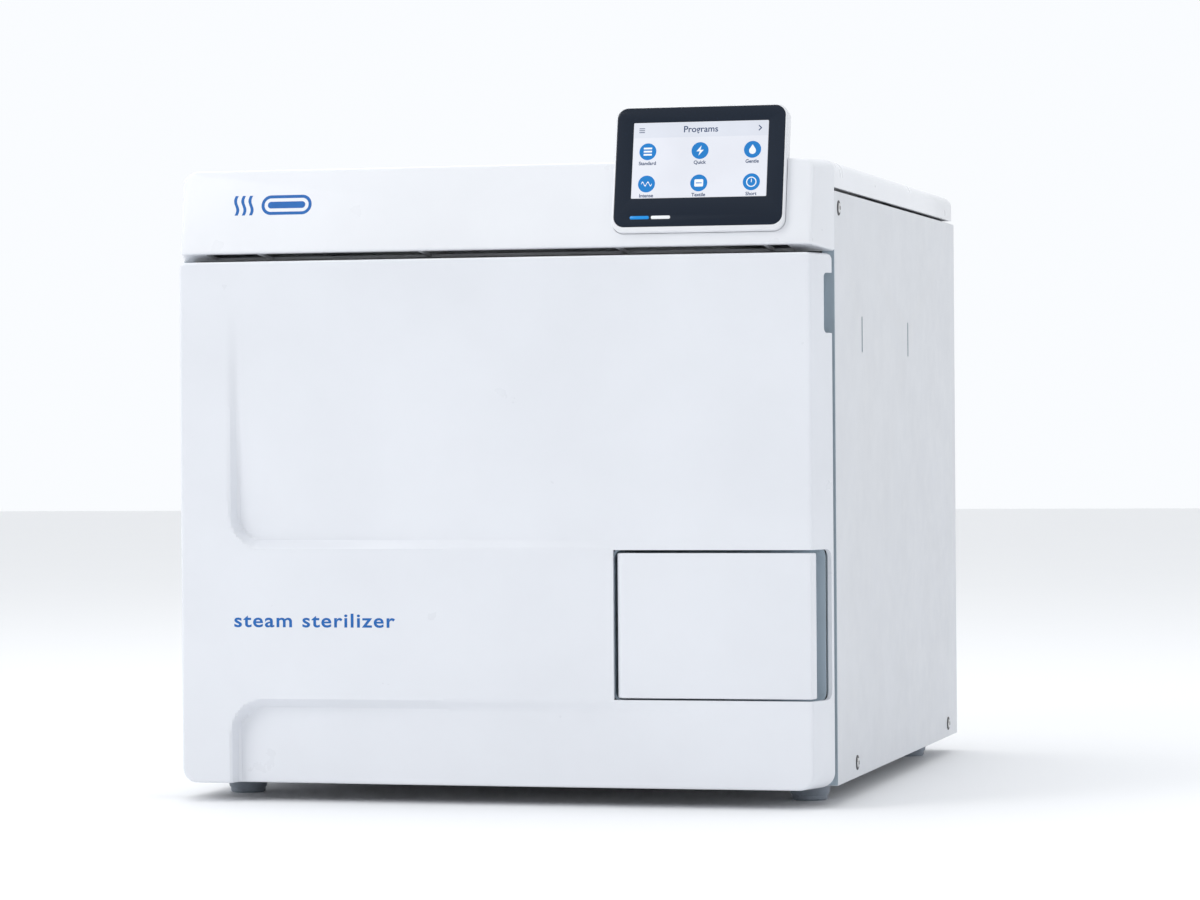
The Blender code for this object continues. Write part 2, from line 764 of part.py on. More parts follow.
def striker_way(name, front, back):
    """The opening that the striker swings through, wider on the side away from the hinge."""
    return box(
        name,
        (STRIKER_X - STRIKER_HALF - PASSING, front, CHAMBER_Z - STRIKER_TALL - PASSING),
        (STRIKER_X + STRIKER_HALF + 2 * PASSING, back, CHAMBER_Z + STRIKER_TALL + PASSING),
    )


def behind(name, depth):
    """A cutter that trims a cover's flared rim flat at this depth."""
    return box(name, (-WIDTH, depth, 0), (WIDTH, depth + 0.05, HEIGHT + 0.05))


def shape_header(bm):
    """Leans the header's face back, flares its sides and slopes its underside."""
    for vert in bm.verts:
        at_front = vert.co.y < ahead(CASE_FRONT / 2)
        at_top = vert.co.z > HEIGHT - HEADER_HEIGHT / 2
        if at_front:
            vert.co.x *= DOOR_HALF / HALF
            vert.co.y = ahead(HEADER_NOSE + (HEADER_LEAN if at_top else 0.0))
        elif not at_top:
            vert.co.z -= HEADER_DROP
    top_sides = [
        edge
        for edge in bm.edges
        if all(vert.co.z > HEIGHT - HEADER_HEIGHT / 2 for vert in edge.verts)
        and abs(edge.verts[0].co.x - edge.verts[1].co.x) < HALF
    ]
    bmesh.ops.bevel(bm, geom=top_sides, offset=TOP_EDGE_RADIUS, segments=4, affect="EDGES", profile=0.5)


def build_header_cover():
    header = open_box(
        "header_cover",
        (-HALF, HEADER_NOSE, HEADER_LOW),
        (HALF, CASE_FRONT - TOUCH, HEIGHT),
        HEADER_WALL,
        [(0, 1, 0)],
        "white_cover",
        edit=shape_header,
    )
    length = WIDTH - 2 * VENT_END
    edges = [VENT_END - HALF + share * length for share in (0.0, *VENT_RIBS, 1.0)]
    vents = [
        (
            (left + VENT_RIB / 2, HEADER_NOSE + VENT_LIP, HEADER_LOW - 0.020),
            (right - VENT_RIB / 2, CASE_FRONT - 0.004, HEADER_LOW + 0.010),
        )
        for left, right in zip(edges, edges[1:])
    ]
    vent = boxes("header_vent", vents)
    pocket = box(
        "display_pocket",
        (DISPLAY_LEFT - TOUCH, -0.02, -TOUCH),
        (DISPLAY_LEFT + DISPLAY_WIDTH + TOUCH, DISPLAY_BACK + TOUCH, DISPLAY_HEIGHT + 0.02),
    )
    lean(pocket, local=True)
    cut(header, vent, pocket, behind("header_trim", CASE_FRONT - TOUCH))


def round_top_edges(bm):
    edges = [
        edge
        for edge in bm.edges
        if all(vert.co.z > HEIGHT - 0.001 for vert in edge.verts)
        and (abs(edge.verts[0].co.x - edge.verts[1].co.x) < HALF or edge.verts[0].co.y > 0)
    ]
    bmesh.ops.bevel(bm, geom=edges, offset=TOP_EDGE_RADIUS, segments=4, affect="EDGES", profile=0.5)


def build_top_cover():
    open_box(
        "top_cover",
        (-HALF, CASE_FRONT + TOUCH, SKIRT_LOW),
        (HALF, DEPTH - TOP_REAR_INSET, HEIGHT),
        MOULDED,
        [(0, 0, -1)],
        "white_cover",
        edit=round_top_edges,
    )


def build_feet():
    height = BASE_Z - TOUCH
    for word, depth in (("front", FOOT_FRONT), ("rear", DEPTH - FOOT_REAR)):
        for hand, side in (("left", -1), ("right", 1)):
            centre = (side * (HALF - FOOT_INSET), depth, height / 2)
            cylinder(
                f"foot_{word}_{hand}",
                centre,
                FOOT_LOW_RADIUS,
                height,
                finish="rubber",
                segments=24,
                far_radius=FOOT_TOP_RADIUS,
            )


# Display, in its own leaning frame: x as in the world, y behind the header's face, z up the face


def lean(thing, local=False):
    """Turns a piece made in the display's frame back with the header's face."""
    if local:
        thing.data.transform(Matrix.Translation((0, DEPTH / 2, 0)))
    rise = DISPLAY_RISE * math.cos(HEADER_TILT)
    back = DISPLAY_RISE * math.sin(HEADER_TILT)
    at = Matrix.Translation((0, ahead(HEADER_NOSE + back), HEADER_LOW + rise))
    thing.matrix_world = at @ Matrix.Rotation(-HEADER_TILT, 4, "X")
    return thing


def display_plate(name, loops, front, thickness, finish=None):
    plate = outline_plate(name, loops, thickness, finish)
    plate.data.transform(Matrix.Translation((0, front + thickness / 2, 0)) @ UPRIGHT)
    return lean(plate)


def light_lefts():
    first = SCREEN_LEFT - LIGHT_LEAD
    return first, first + LIGHT_LENGTH + LIGHT_GAP


def grown(left, low, width, height, radius, steps):
    """A rounded rectangle with the touching clearance all round."""
    margin = 2 * TOUCH
    return rounded_rectangle(left - TOUCH, low - TOUCH, width + margin, height + margin, radius, steps)


def build_display():
    outline = rounded_rectangle(DISPLAY_LEFT, 0, DISPLAY_WIDTH, DISPLAY_HEIGHT, DISPLAY_RADIUS)
    housing = display_plate(
        "display_housing", [outline], -DISPLAY_PROUD, DISPLAY_THICKNESS, "white_cover"
    )
    inner_radius = DISPLAY_RADIUS - GLASS_RIM / 2
    seat = grown(GLASS_LEFT, GLASS_CHIN, GLASS_WIDTH, GLASS_HEIGHT, inner_radius, 4)
    front = 2 * DISPLAY_PROUD  # the seat's cutter starts this far in front of the header's face
    seat_depth = front - DISPLAY_PROUD + GLASS_THICKNESS + TOUCH
    cut(housing, display_plate("glass_seat", [seat], -front, seat_depth))
    glass = rounded_rectangle(GLASS_LEFT, GLASS_CHIN, GLASS_WIDTH, GLASS_HEIGHT, inner_radius)
    holes = [grown(SCREEN_LEFT, SCREEN_LOW, SCREEN_WIDTH, SCREEN_HEIGHT, TOUCH, 1)]
    for left in light_lefts():
        holes.append(grown(left, LIGHT_LOW, LIGHT_LENGTH, LIGHT_HEIGHT, LIGHT_RADIUS, 2))
    display_plate("display_glass", [glass] + holes, -DISPLAY_PROUD, GLASS_THICKNESS, "glass")
    screen = rounded_rectangle(SCREEN_LEFT, SCREEN_LOW, SCREEN_WIDTH, SCREEN_HEIGHT, TOUCH, 1)
    inset = TOUCH / 2
    thin = GLASS_THICKNESS - inset
    display_plate("display_screen", [screen], inset - DISPLAY_PROUD, thin, "screen")
    for word, left in zip(("left", "right"), light_lefts()):
        bar = rounded_rectangle(left, LIGHT_LOW, LIGHT_LENGTH, LIGHT_HEIGHT, LIGHT_RADIUS, 2)
        display_plate(f"status_light_{word}", [bar], inset - DISPLAY_PROUD, thin, "light")


# Pressure chamber and what is in it


def dish(radius, depth, from_depth, steps=5):
    """A dished end's profile from its rim to the axis."""
    found = []
    for step in range(steps + 1):
        angle = math.radians(90 * step / steps)
        found.append((radius * math.cos(angle), from_depth + depth * math.sin(angle)))
    found[-1] = (0.0, from_depth + depth)
    return found


def build_chamber():
    outside = dish(CHAMBER_OUTER, CHAMBER_DISH + CHAMBER_WALL, CHAMBER_DEPTH)
    flange = [
        (CHAMBER_OUTER, FLANGE_THICKNESS),
        (FLANGE_RADIUS, FLANGE_THICKNESS),
        (FLANGE_RADIUS, 0.0),
        (CHAMBER_RADIUS, 0.0),
    ]
    profile = outside[::-1] + flange + dish(CHAMBER_RADIUS, CHAMBER_DISH, CHAMBER_DEPTH)
    centre = (0, CHAMBER_FRONT, CHAMBER_Z)
    turned("pressure_chamber", profile, centre, "Y", "stainless", closed=False)


def ring(name, inner, outer, start, end, finish, z=CHAMBER_Z, segments=ROUND):
    length = end - start
    profile = [(outer, length), (outer, 0.0), (inner, 0.0), (inner, length)]
    return turned(name, profile, (0, start, z), "Y", finish, segments)


def build_chamber_jacket():
    start = CHAMBER_FRONT + FLANGE_THICKNESS + TOUCH
    heater_end = CHAMBER_END - HEATER_END
    heater_start = heater_end - HEATER_LENGTH
    heater_outer = INSULATION_INNER + HEATER_THICKNESS
    ring("chamber_insulation", INSULATION_INNER, INSULATION_OUTER, start, heater_start - TOUCH, "foam")
    ring("band_heater", INSULATION_INNER, heater_outer, heater_start, heater_end, "zinc")


def build_chamber_stand():
    """A hollow saddle between the base plate and the jacket."""
    front = CHAMBER_FRONT + STAND_START
    back = front + STAND_LENGTH
    stand = box(
        "chamber_stand",
        (-STAND_HALF, front, FLOOR),
        (STAND_HALF, back, CHAMBER_Z - STAND_RISE),
        "zinc",
    )
    inner = STAND_HALF - 2 * STAND_WALL
    hollow = box(
        "stand_hollow",
        (-inner, front + STAND_WALL, FLOOR - STAND_FOOTING),
        (inner, back - STAND_WALL, FLOOR + STAND_FOOTING),
    )
    centre = (0, (front + back) / 2, CHAMBER_Z)
    saddle = cylinder(
        "stand_saddle", centre, INSULATION_OUTER + TOUCH, 2 * STAND_LENGTH, "Y", segments=ROUND
    )
    cut(stand, hollow, saddle)


def shelf_heights():
    """The lowest tray stands on the rack's floor and the others on its lips."""
    pitch = (RACK_HIGH - RACK_LOW - RACK_SHEET) / TRAY_COUNT
    return [RACK_LOW + pitch * number for number in range(TRAY_COUNT)]


def build_tray_rack():
    """A folded channel with inward lips, which carries the trays."""
    inner = RACK_HALF - RACK_SHEET
    lip = inner - SHELF_LIP
    right = [(RACK_HALF, RACK_LOW), (RACK_HALF, RACK_HIGH), (inner, RACK_HIGH)]
    for z in reversed(shelf_heights()[1:]):
        top = z + RACK_SHEET
        right += [(inner, top), (lip, top), (lip, z), (inner, z)]
    right.append((inner, RACK_LOW + RACK_SHEET))
    left = [(-x, z) for x, z in reversed(right)]
    rack = outline_plate("tray_rack", [right + left], RACK_LENGTH, "stainless")
    upright(rack, RACK_START + RACK_LENGTH / 2)


def build_trays():
    half = RACK_HALF - RACK_SHEET - RUNNING
    for number, z in enumerate(shelf_heights(), start=1):
        low = z + RACK_SHEET + TOUCH
        open_box(
            f"tray_{number}",
            (-half, RACK_START + TRAY_INSET, low),
            (half, RACK_START + RACK_LENGTH - TRAY_INSET, low + TRAY_DEPTH),
            TRAY_SHEET,
            [(0, 0, 1)],
            "stainless",
        )


# Door


def along(low, high, steps):
    return [low + (high - low) * step / steps for step in range(steps + 1)]


def recess(x, z):
    """Depth of the door's face behind its highest plane. Both recesses fade out to the right."""
    reach = min(max((x - RECESS_LEFT) / (DOOR_HALF - RECESS_LEFT), 0.0), 1.0)
    fade = (1.0 - reach) ** 2
    upper_top = DOOR_HIGH - RECESS_FADE
    rise = min(max((z - UPPER_RECESS_LOW) / (upper_top - UPPER_RECESS_LOW), 0.0), 1.0)
    upper = wall_step(corner_distance(x - RECESS_LEFT, z - UPPER_RECESS_LOW)) * (1.0 - rise) ** 1.2
    lower = wall_step(corner_distance(x - RECESS_LEFT, LOWER_RECESS_TOP - z))
    return RECESS_DEPTH * fade * (upper + lower)


def corner_distance(across, up):
    """How far a point is inside a quarter plane whose corner is rounded."""
    if across < RECESS_RADIUS and up < RECESS_RADIUS:
        return RECESS_RADIUS - math.hypot(across - RECESS_RADIUS, up - RECESS_RADIUS)
    return min(across, up)


def wall_step(distance):
    share = min(max(distance / RECESS_WALL, 0.0), 1.0)
    return share * share * (3.0 - 2.0 * share)


def door_lines():
    """Grid lines of the door's face, closer together where the recesses' walls are."""
    across = [-DOOR_HALF] + along(RECESS_LEFT, RECESS_LEFT + RECESS_WALL, 3)
    across += along(RECESS_LEFT + RECESS_RADIUS, DOOR_HALF - 0.025, 7) + [DOOR_HALF]
    up = [DOOR_LOW, DOOR_LOW + 0.02]
    up += along(LOWER_RECESS_TOP - RECESS_RADIUS, LOWER_RECESS_TOP - RECESS_WALL, 2)
    up += along(LOWER_RECESS_TOP - RECESS_WALL / 2, LOWER_RECESS_TOP, 1)
    up += along(UPPER_RECESS_LOW, UPPER_RECESS_LOW + RECESS_WALL, 3)
    up += along(UPPER_RECESS_LOW + RECESS_RADIUS, DOOR_HIGH - 0.02, 4) + [DOOR_HIGH]
    return across, up


def door_face():
    across, up = door_lines()
    bm = bmesh.new()
    bmesh.ops.create_grid(bm, x_segments=len(across) - 1, y_segments=len(up) - 1, size=1.0)
    for vert in bm.verts:
        column = round((vert.co.x + 1) / 2 * (len(across) - 1))
        row = round((vert.co.y + 1) / 2 * (len(up) - 1))
        x, z = across[column], up[row]
        vert.co = (x, ahead(recess(x, z)), z)
    return bm


def build_door_cover():
    bm = door_face()
    rim = [edge for edge in bm.edges if edge.is_boundary]
    grown = bmesh.ops.extrude_edge_only(bm, edges=rim)["geom"]
    back = [item for item in grown if isinstance(item, bmesh.types.BMVert)]
    for vert in back:
        vert.co.x *= (DOOR_HALF + DOOR_FLARE) / DOOR_HALF
        vert.co.y = ahead(DOOR_DEPTH)
    bmesh.ops.recalc_face_normals(bm, faces=bm.faces)
    middle_face = min(bm.faces, key=lambda face: face.calc_center_median().length)
    if middle_face.normal.y > 0:
        bmesh.ops.reverse_faces(bm, faces=bm.faces)
    low_corners = [edge for edge in bm.edges if is_low_corner(edge)]
    bmesh.ops.bevel(bm, geom=low_corners, offset=DOOR_CORNER, segments=4, affect="EDGES", profile=0.5)
    mesh = bpy.data.meshes.new("door_cover")
    bm.to_mesh(mesh)
    bm.free()
    cover = place("door_cover", mesh, "white_cover")
    thicken(cover, MOULDED)
    cut(cover, hinge_slot(), grip_pocket(), notch_cutter(), behind("door_trim", DOOR_DEPTH))


def is_low_corner(edge):
    """Whether an edge runs back along one of the door's two lower corners."""
    low = all(vert.co.z < DOOR_LOW + TOUCH and abs(vert.co.x) > DOOR_HALF - TOUCH for vert in edge.verts)
    return low and abs(edge.verts[0].co.y - edge.verts[1].co.y) > DOOR_DEPTH / 2


def hinge_slot():
    """Room for the hinge's bracket in the door cover's left side."""
    tall = HINGE_TALL + PASSING + RUNNING
    return box(
        "cover_hinge_slot",
        (-HALF - MOULDED, HINGE_SLOT_FRONT, CHAMBER_Z - tall),
        (HINGE_X - HINGE_EYE_RADIUS - 0.0005, DOOR_DEPTH + MOULDED, CHAMBER_Z + tall),
    )


def runs_across(edge, depth):
    """Whether an edge lies at this depth or behind it, and runs from side to side."""
    behind_it = all(vert.co.y > ahead(depth) - TOUCH for vert in edge.verts)
    return behind_it and abs(edge.verts[0].co.x - edge.verts[1].co.x) > 0.01


def grip_pocket():
    """The opening for the closing grip, through the door's face and its right strip."""
    low = (GRIP_LEFT - GRIP_GAP, -MOULDED, GRIP_LOW - GRIP_LOWER_GAP)
    high = (HALF + MOULDED, GRIP_RECESS_DEPTH + TOUCH, GRIP_HIGH + GRIP_GAP)
    bm = bmesh.new()
    add_box(bm, low, high)
    back = [edge for edge in bm.edges if runs_across(edge, high[1])]
    bmesh.ops.bevel(bm, geom=back, offset=GRIP_RECESS_RADIUS, segments=4, affect="EDGES", profile=0.5)
    return place("grip_pocket", mesh_from("grip_pocket", bm))


def notch_cutter():
    start = DOOR_DEPTH - NOTCH_DEPTH
    bm = bmesh.new()
    low = (HALF - NOTCH_REACH, start, NOTCH_LOW)
    add_box(bm, low, (HALF + MOULDED, DOOR_DEPTH + NOTCH_DEPTH, NOTCH_LOW + NOTCH_HEIGHT))
    inner = [
        edge
        for edge in bm.edges
        if runs_across(edge, start) and edge.verts[0].co.y < ahead(DOOR_DEPTH)
    ]
    bmesh.ops.bevel(bm, geom=inner, offset=NOTCH_RADIUS, segments=3, affect="EDGES", profile=0.5)
    return place("notch", mesh_from("notch", bm))


def build_door_inner_cover():
    half = strip_x(COVER_FRONT) - MOULDED - COVER_CLEAR
    low = DOOR_LOW + MOULDED + TOUCH
    high = DOOR_HIGH - MOULDED - TOUCH
    outline = rounded_rectangle(-half, low, 2 * half, high - low, DOOR_CORNER)
    hub = arc((0, CHAMBER_Z), HUB_RADIUS + TOUCH, 0, 360 - 360 / ROUND, ROUND - 1)
    cover = outline_plate("door_inner_cover", [outline, hub], INNER_COVER, "grey_plastic")
    upright(cover, (COVER_FRONT + COVER_BACK) / 2)
    tall = HINGE_TALL + PASSING + RUNNING
    ear = STRIKER_HALF + TOUCH
    ear_tall = STRIKER_TALL + TOUCH
    hinge = (HINGE_X + HINGE_EYE_RADIUS + RUNNING, DOOR_DEPTH, CHAMBER_Z + tall)
    switch_high = SWITCH_LOW + SWITCH_HEIGHT + SWITCH_MARGIN
    notches = [
        ((-HALF, 0, CHAMBER_Z - tall), hinge),
        ((SWITCH_LEFT - SWITCH_MARGIN, 0, SWITCH_LOW - SWITCH_MARGIN), (HALF, DOOR_DEPTH, switch_high)),
        (
            (STRIKER_X - ear, 0, CHAMBER_Z - ear_tall),
            (STRIKER_X + ear, DOOR_DEPTH, CHAMBER_Z + ear_tall),
        ),
    ]
    cut(cover, boxes("inner_cover_notches", notches))


def build_door_crossbar():
    bar = box(
        "door_crossbar",
        (HINGE_X, BAR_FRONT, CHAMBER_Z - BAR_HEIGHT / 2),
        (STRIKER_X + STRIKER_HALF + 2 * PASSING, BAR_BACK, CHAMBER_Z + BAR_HEIGHT / 2),
        "zinc",
    )
    eye = (HINGE_X, HINGE_DEPTH, CHAMBER_Z)
    knuckle = cylinder("knuckle", eye, HINGE_EYE_RADIUS - 0.0005, HINGE_KNUCKLE - 2 * TOUCH)
    join(bar, knuckle)
    cut(bar, cylinder("knuckle_bore", eye, HINGE_PIN_RADIUS + TOUCH, 2 * HINGE_KNUCKLE))


def build_door_plate():
    hub_length = PLATE_FRONT - BAR_BACK - TOUCH
    length = hub_length + PLATE_THICKNESS
    outer = FLANGE_RADIUS - PLATE_INSET
    profile = [
        (0.0, length),
        (outer - PLATE_CHAMFER, length),
        (outer, length - PLATE_CHAMFER),
        (outer, hub_length),
        (HUB_RADIUS, hub_length),
        (HUB_RADIUS, 0.0),
        (0.0, 0.0),
    ]
    centre = (0, BAR_BACK + TOUCH, CHAMBER_Z)
    turned("door_plate", profile, centre, "Y", "stainless", closed=False)
    gasket_outer = GASKET_INNER + GASKET_WIDTH
    gasket_back = GASKET_FRONT + GASKET_THICKNESS
    ring("door_gasket", GASKET_INNER, gasket_outer, GASKET_FRONT, gasket_back, "silicone")


def build_hinge():
    back = PANEL_FRONT - TOUCH
    left = HINGE_X - HINGE_EYE_RADIUS
    bracket = box(
        "hinge_bracket",
        (left, back - HINGE_PLATE, CHAMBER_Z - HINGE_TALL),
        (HINGE_X + HINGE_FOOT, back, CHAMBER_Z + HINGE_TALL),
        "zinc",
    )
    fingers = []
    eyes = []
    for side in (-1, 1):
        low, high = sorted((CHAMBER_Z + side * HINGE_KNUCKLE / 2, CHAMBER_Z + side * HINGE_TALL))
        finger = (HINGE_X + HINGE_EYE_RADIUS, back - HINGE_PLATE / 2, high)
        fingers.append(((left, HINGE_DEPTH, low), finger))
        centre = (HINGE_X, HINGE_DEPTH, (low + high) / 2)
        eyes.append(cylinder(f"eye_{side}", centre, HINGE_EYE_RADIUS, HINGE_FINGER))
    join(bracket, boxes("hinge_fingers", fingers), *eyes)
    eye = (HINGE_X, HINGE_DEPTH, CHAMBER_Z)
    cut(bracket, cylinder("bracket_bore", eye, HINGE_PIN_RADIUS + TOUCH, 3 * HINGE_TALL))
    pin_length = 2 * HINGE_TALL + HINGE_PIN_RADIUS
    cylinder("hinge_pin", eye, HINGE_PIN_RADIUS, pin_length, finish="stainless")


# Closing grip


def follow_strip(bm, inset):
    """Flares the right side of a piece like the door's strip, this far inside it."""
    for vert in bm.verts:
        if vert.co.x > (GRIP_LEFT + HALF) / 2:
            vert.co.x = strip_x(vert.co.y - ahead(0)) - inset


def round_grip(bm):
    """Rounds the grip's left front edge."""
    left = [
        edge
        for edge in bm.edges
        if all(vert.co.x < GRIP_PIN_X and vert.co.y < ahead(TOUCH) for vert in edge.verts)
        and abs(edge.verts[0].co.z - edge.verts[1].co.z) > GRIP_HEIGHT / 2
    ]
    bmesh.ops.bevel(bm, geom=left, offset=GRIP_EDGE, segments=4, affect="EDGES", profile=0.5)


def build_closing_grip():
    bm = bmesh.new()
    add_box(bm, (GRIP_LEFT, 0, GRIP_LOW), (HALF, GRIP_THICKNESS, GRIP_HIGH))
    follow_strip(bm, GRIP_STRIP_GAP)
    round_grip(bm)
    grip = place("closing_grip", mesh_from("closing_grip", bm), "white_cover")
    left, right = GRIP_PIN_X - BOSS_HALF, GRIP_PIN_X + BOSS_HALF
    front = GRIP_THICKNESS - MOULDED
    back = GRIP_PIN_DEPTH + GRIP_PIN_RADIUS + BOSS_WALL
    bosses = [
        ((left, front, GRIP_LOW + BOSS_INSET), (right, back, GRIP_MIDDLE - SPRING_ROOM)),
        ((left, front, GRIP_MIDDLE + SPRING_ROOM), (right, back, GRIP_HIGH - BOSS_INSET)),
    ]
    join(grip, boxes("grip_bosses", bosses))
    pin = (GRIP_PIN_X, GRIP_PIN_DEPTH, GRIP_MIDDLE)
    bore_length = GRIP_HEIGHT - BOSS_INSET / 2
    cut(grip, cylinder("grip_bore", pin, GRIP_PIN_RADIUS + TOUCH, bore_length, segments=16))
    pin_length = GRIP_HEIGHT + GRIP_GAP + GRIP_LOWER_GAP - 4 * TOUCH
    cylinder("grip_pin", pin, GRIP_PIN_RADIUS, pin_length, finish="stainless", segments=16)


def build_grip_spring():
    """A torsion coil round the grip's pin."""
    radius = GRIP_PIN_RADIUS + SPRING_WIRE + TOUCH
    reach = SPRING_ROOM - 2 * RUNNING
    count = SPRING_TURNS * SPRING_STEPS
    curve = bpy.data.curves.new("grip_spring", "CURVE")
    curve.dimensions = "3D"
    curve.bevel_depth = SPRING_WIRE
    curve.bevel_resolution = 1
    curve.use_fill_caps = True
    spline = curve.splines.new("POLY")
    spline.points.add(count)
    for number, point in enumerate(spline.points):
        angle = 2 * math.pi * number / SPRING_STEPS
        x = GRIP_PIN_X + radius * math.cos(angle)
        y = ahead(GRIP_PIN_DEPTH) + radius * math.sin(angle)
        z = GRIP_MIDDLE - reach + 2 * reach * number / count
        point.co = (x, y, z, 1.0)
    spring = bpy.data.objects.new("grip_spring", curve)
    PARTS.objects.link(spring)
    curve.materials.append(material_for("grip_spring", "stainless"))


def build_grip_recess():
    """The grey liner behind the grip, open at the front and towards the right strip."""
    wall = GRIP_RECESS_WALL
    open_box(
        "grip_recess",
        (GRIP_LEFT - GRIP_GAP - wall, MOULDED + wall, GRIP_LOW - GRIP_LOWER_GAP - wall),
        (HALF - MOULDED, GRIP_RECESS_DEPTH, GRIP_HIGH + GRIP_GAP + wall),
        wall,
        [(0, -1, 0), (1, 0, 0)],
        "grey_plastic",
        edit=lambda bm: follow_strip(bm, MOULDED + wall),
    )


# Lock


def build_striker():
    """Two ears with a pin between them, fixed to the crossbar's rear."""
    start = BAR_BACK + TOUCH
    end = STRIKER_DEPTH + STRIKER_PIN_RADIUS + STRIKER_NOSE
    striker = box(
        "striker",
        (STRIKER_X - STRIKER_HALF, start, CHAMBER_Z - STRIKER_TALL),
        (STRIKER_X + STRIKER_HALF, end, CHAMBER_Z + STRIKER_TALL),
        "stainless",
    )
    gap = box(
        "striker_gap",
        (STRIKER_X - 2 * STRIKER_HALF, start + STRIKER_ROOT, CHAMBER_Z - CLAW_ROOM),
        (STRIKER_X + 2 * STRIKER_HALF, end + STRIKER_NOSE, CHAMBER_Z + CLAW_ROOM),
    )
    cut(striker, gap)
    centre = (STRIKER_X, STRIKER_DEPTH, CHAMBER_Z)
    pin_length = CLAW_ROOM + STRIKER_TALL
    join(striker, cylinder("striker_pin", centre, STRIKER_PIN_RADIUS, pin_length))


def build_lock_claw():
    """A hook whose finger runs on an arc round the pivot and closes behind the striker's pin."""
    inside = STRIKER_REACH - STRIKER_PIN_RADIUS - RUNNING
    slot_outside = STRIKER_REACH + STRIKER_PIN_RADIUS + RUNNING
    outside = slot_outside + CLAW_RIM
    mouth = 270 - CLAW_REST + CLAW_TAIL
    slot_end = mouth - CLAW_TAIL
    root = slot_end - CLAW_ROOT
    outline = arc((0, 0), outside, mouth, root, 8)
    outline += arc((0, 0), inside, root, mouth - 360, 18)
    outline += arc((0, 0), inside, mouth, slot_end, 6)[1:]
    outline += arc((0, 0), slot_outside, slot_end, mouth, 6)
    bore = arc((0, 0), CLAW_BORE + TOUCH, 0, 360 - 360 / 16, 15)
    claw = outline_plate("lock_claw", [outline[:-1], bore], CLAW_THICKNESS, "stainless")
    claw.location = (STRIKER_X, ahead(LOCK_PIVOT_DEPTH), CHAMBER_Z)


def build_lock_frame():
    """Two plates above and below the claw, joined by a wall behind it, which carry its shaft."""
    room = CLAW_ROOM + LOCK_SPACE
    front = PANEL_BACK + TOUCH
    back = LOCK_PIVOT_DEPTH + STRIKER_REACH + STRIKER_ROOT
    left = STRIKER_X - 0.55 * STRIKER_REACH
    right = INNER_HALF - 4 * PASSING
    frame = box(
        "lock_frame",
        (left, front, LOCK_LOW),
        (right, back, CHAMBER_Z + room + LOCK_PLATE),
        "zinc",
    )
    gap = box(
        "lock_frame_gap",
        (left - LOCK_WALL, front - LOCK_WALL, CHAMBER_Z - room),
        (right + LOCK_WALL, back - LOCK_WALL, CHAMBER_Z + room),
    )
    way = striker_way("striker_way", front - LOCK_WALL, STRIKER_DEPTH + STRIKER_PIN_RADIUS + 0.005)
    centre = (STRIKER_X, LOCK_PIVOT_DEPTH, CHAMBER_Z)
    cut(frame, gap, way, cylinder("lock_bore", centre, CLAW_BORE + TOUCH, 6 * room))


def build_lock_motor():
    """The geared motor below the lock's frame. Its shaft stands up through the claw."""
    top = LOCK_LOW - TOUCH
    low = top - LOCK_MOTOR_HEIGHT
    centre = (STRIKER_X, LOCK_PIVOT_DEPTH, (low + top) / 2)
    motor = cylinder(
        "lock_motor", centre, LOCK_MOTOR_RADIUS, LOCK_MOTOR_HEIGHT, finish="zinc", segments=24
    )
    shaft_low = top - LOCK_PLATE
    shaft_high = CHAMBER_Z + CLAW_ROOM + LOCK_SPACE + LOCK_PLATE
    middle = (STRIKER_X, LOCK_PIVOT_DEPTH, (shaft_low + shaft_high) / 2)
    join(motor, cylinder("lock_shaft", middle, CLAW_BORE, shaft_high - shaft_low, segments=16))


# Tanks, pumps and the rest of the inside


def build_tanks():
    front = PANEL_BACK + TANK_SETBACK
    back = REAR_FRONT - TANK_REAR_ROOM
    gap = TANK_HEADROOM / 2
    side = HALF - FLANGE - TANK_SIDE_ROOM
    for name, left, right in (
        ("feed_water_tank", -side, TANK_DIVIDE - gap),
        ("waste_water_tank", TANK_DIVIDE + gap, side),
    ):
        low = (left, front, TANK_LOW)
        open_box(name, low, (right, back, TANK_HIGH), TANK_WALL, [(0, 0, 1)], "tank")


def build_vacuum_pump():
    x = INNER_HALF - PUMP_RADIUS - PUMP_SIDE
    z = FLOOR + PUMP_RADIUS + PUMP_RISE
    start = LOCK_PIVOT_DEPTH + PUMP_SETBACK
    head_start = start + PUMP_LENGTH - PUMP_LAP
    middle = (x, start + PUMP_LENGTH / 2, z)
    pump = cylinder("vacuum_pump", middle, PUMP_RADIUS, PUMP_LENGTH, "Y", "zinc", 32)
    head = box(
        "pump_head",
        (x - PUMP_HEAD, head_start, z - PUMP_HEAD),
        (x + PUMP_HEAD, head_start + PUMP_HEAD_LENGTH, z + PUMP_HEAD),
        bevel=0.004,
    )
    half = PUMP_HEAD - CHAMFER
    base = box(
        "pump_base",
        (x - half, start + PUMP_RISE, FLOOR),
        (x + half, head_start + PUMP_RADIUS, z - PUMP_RADIUS / 2),
    )
    join(pump, head, base)


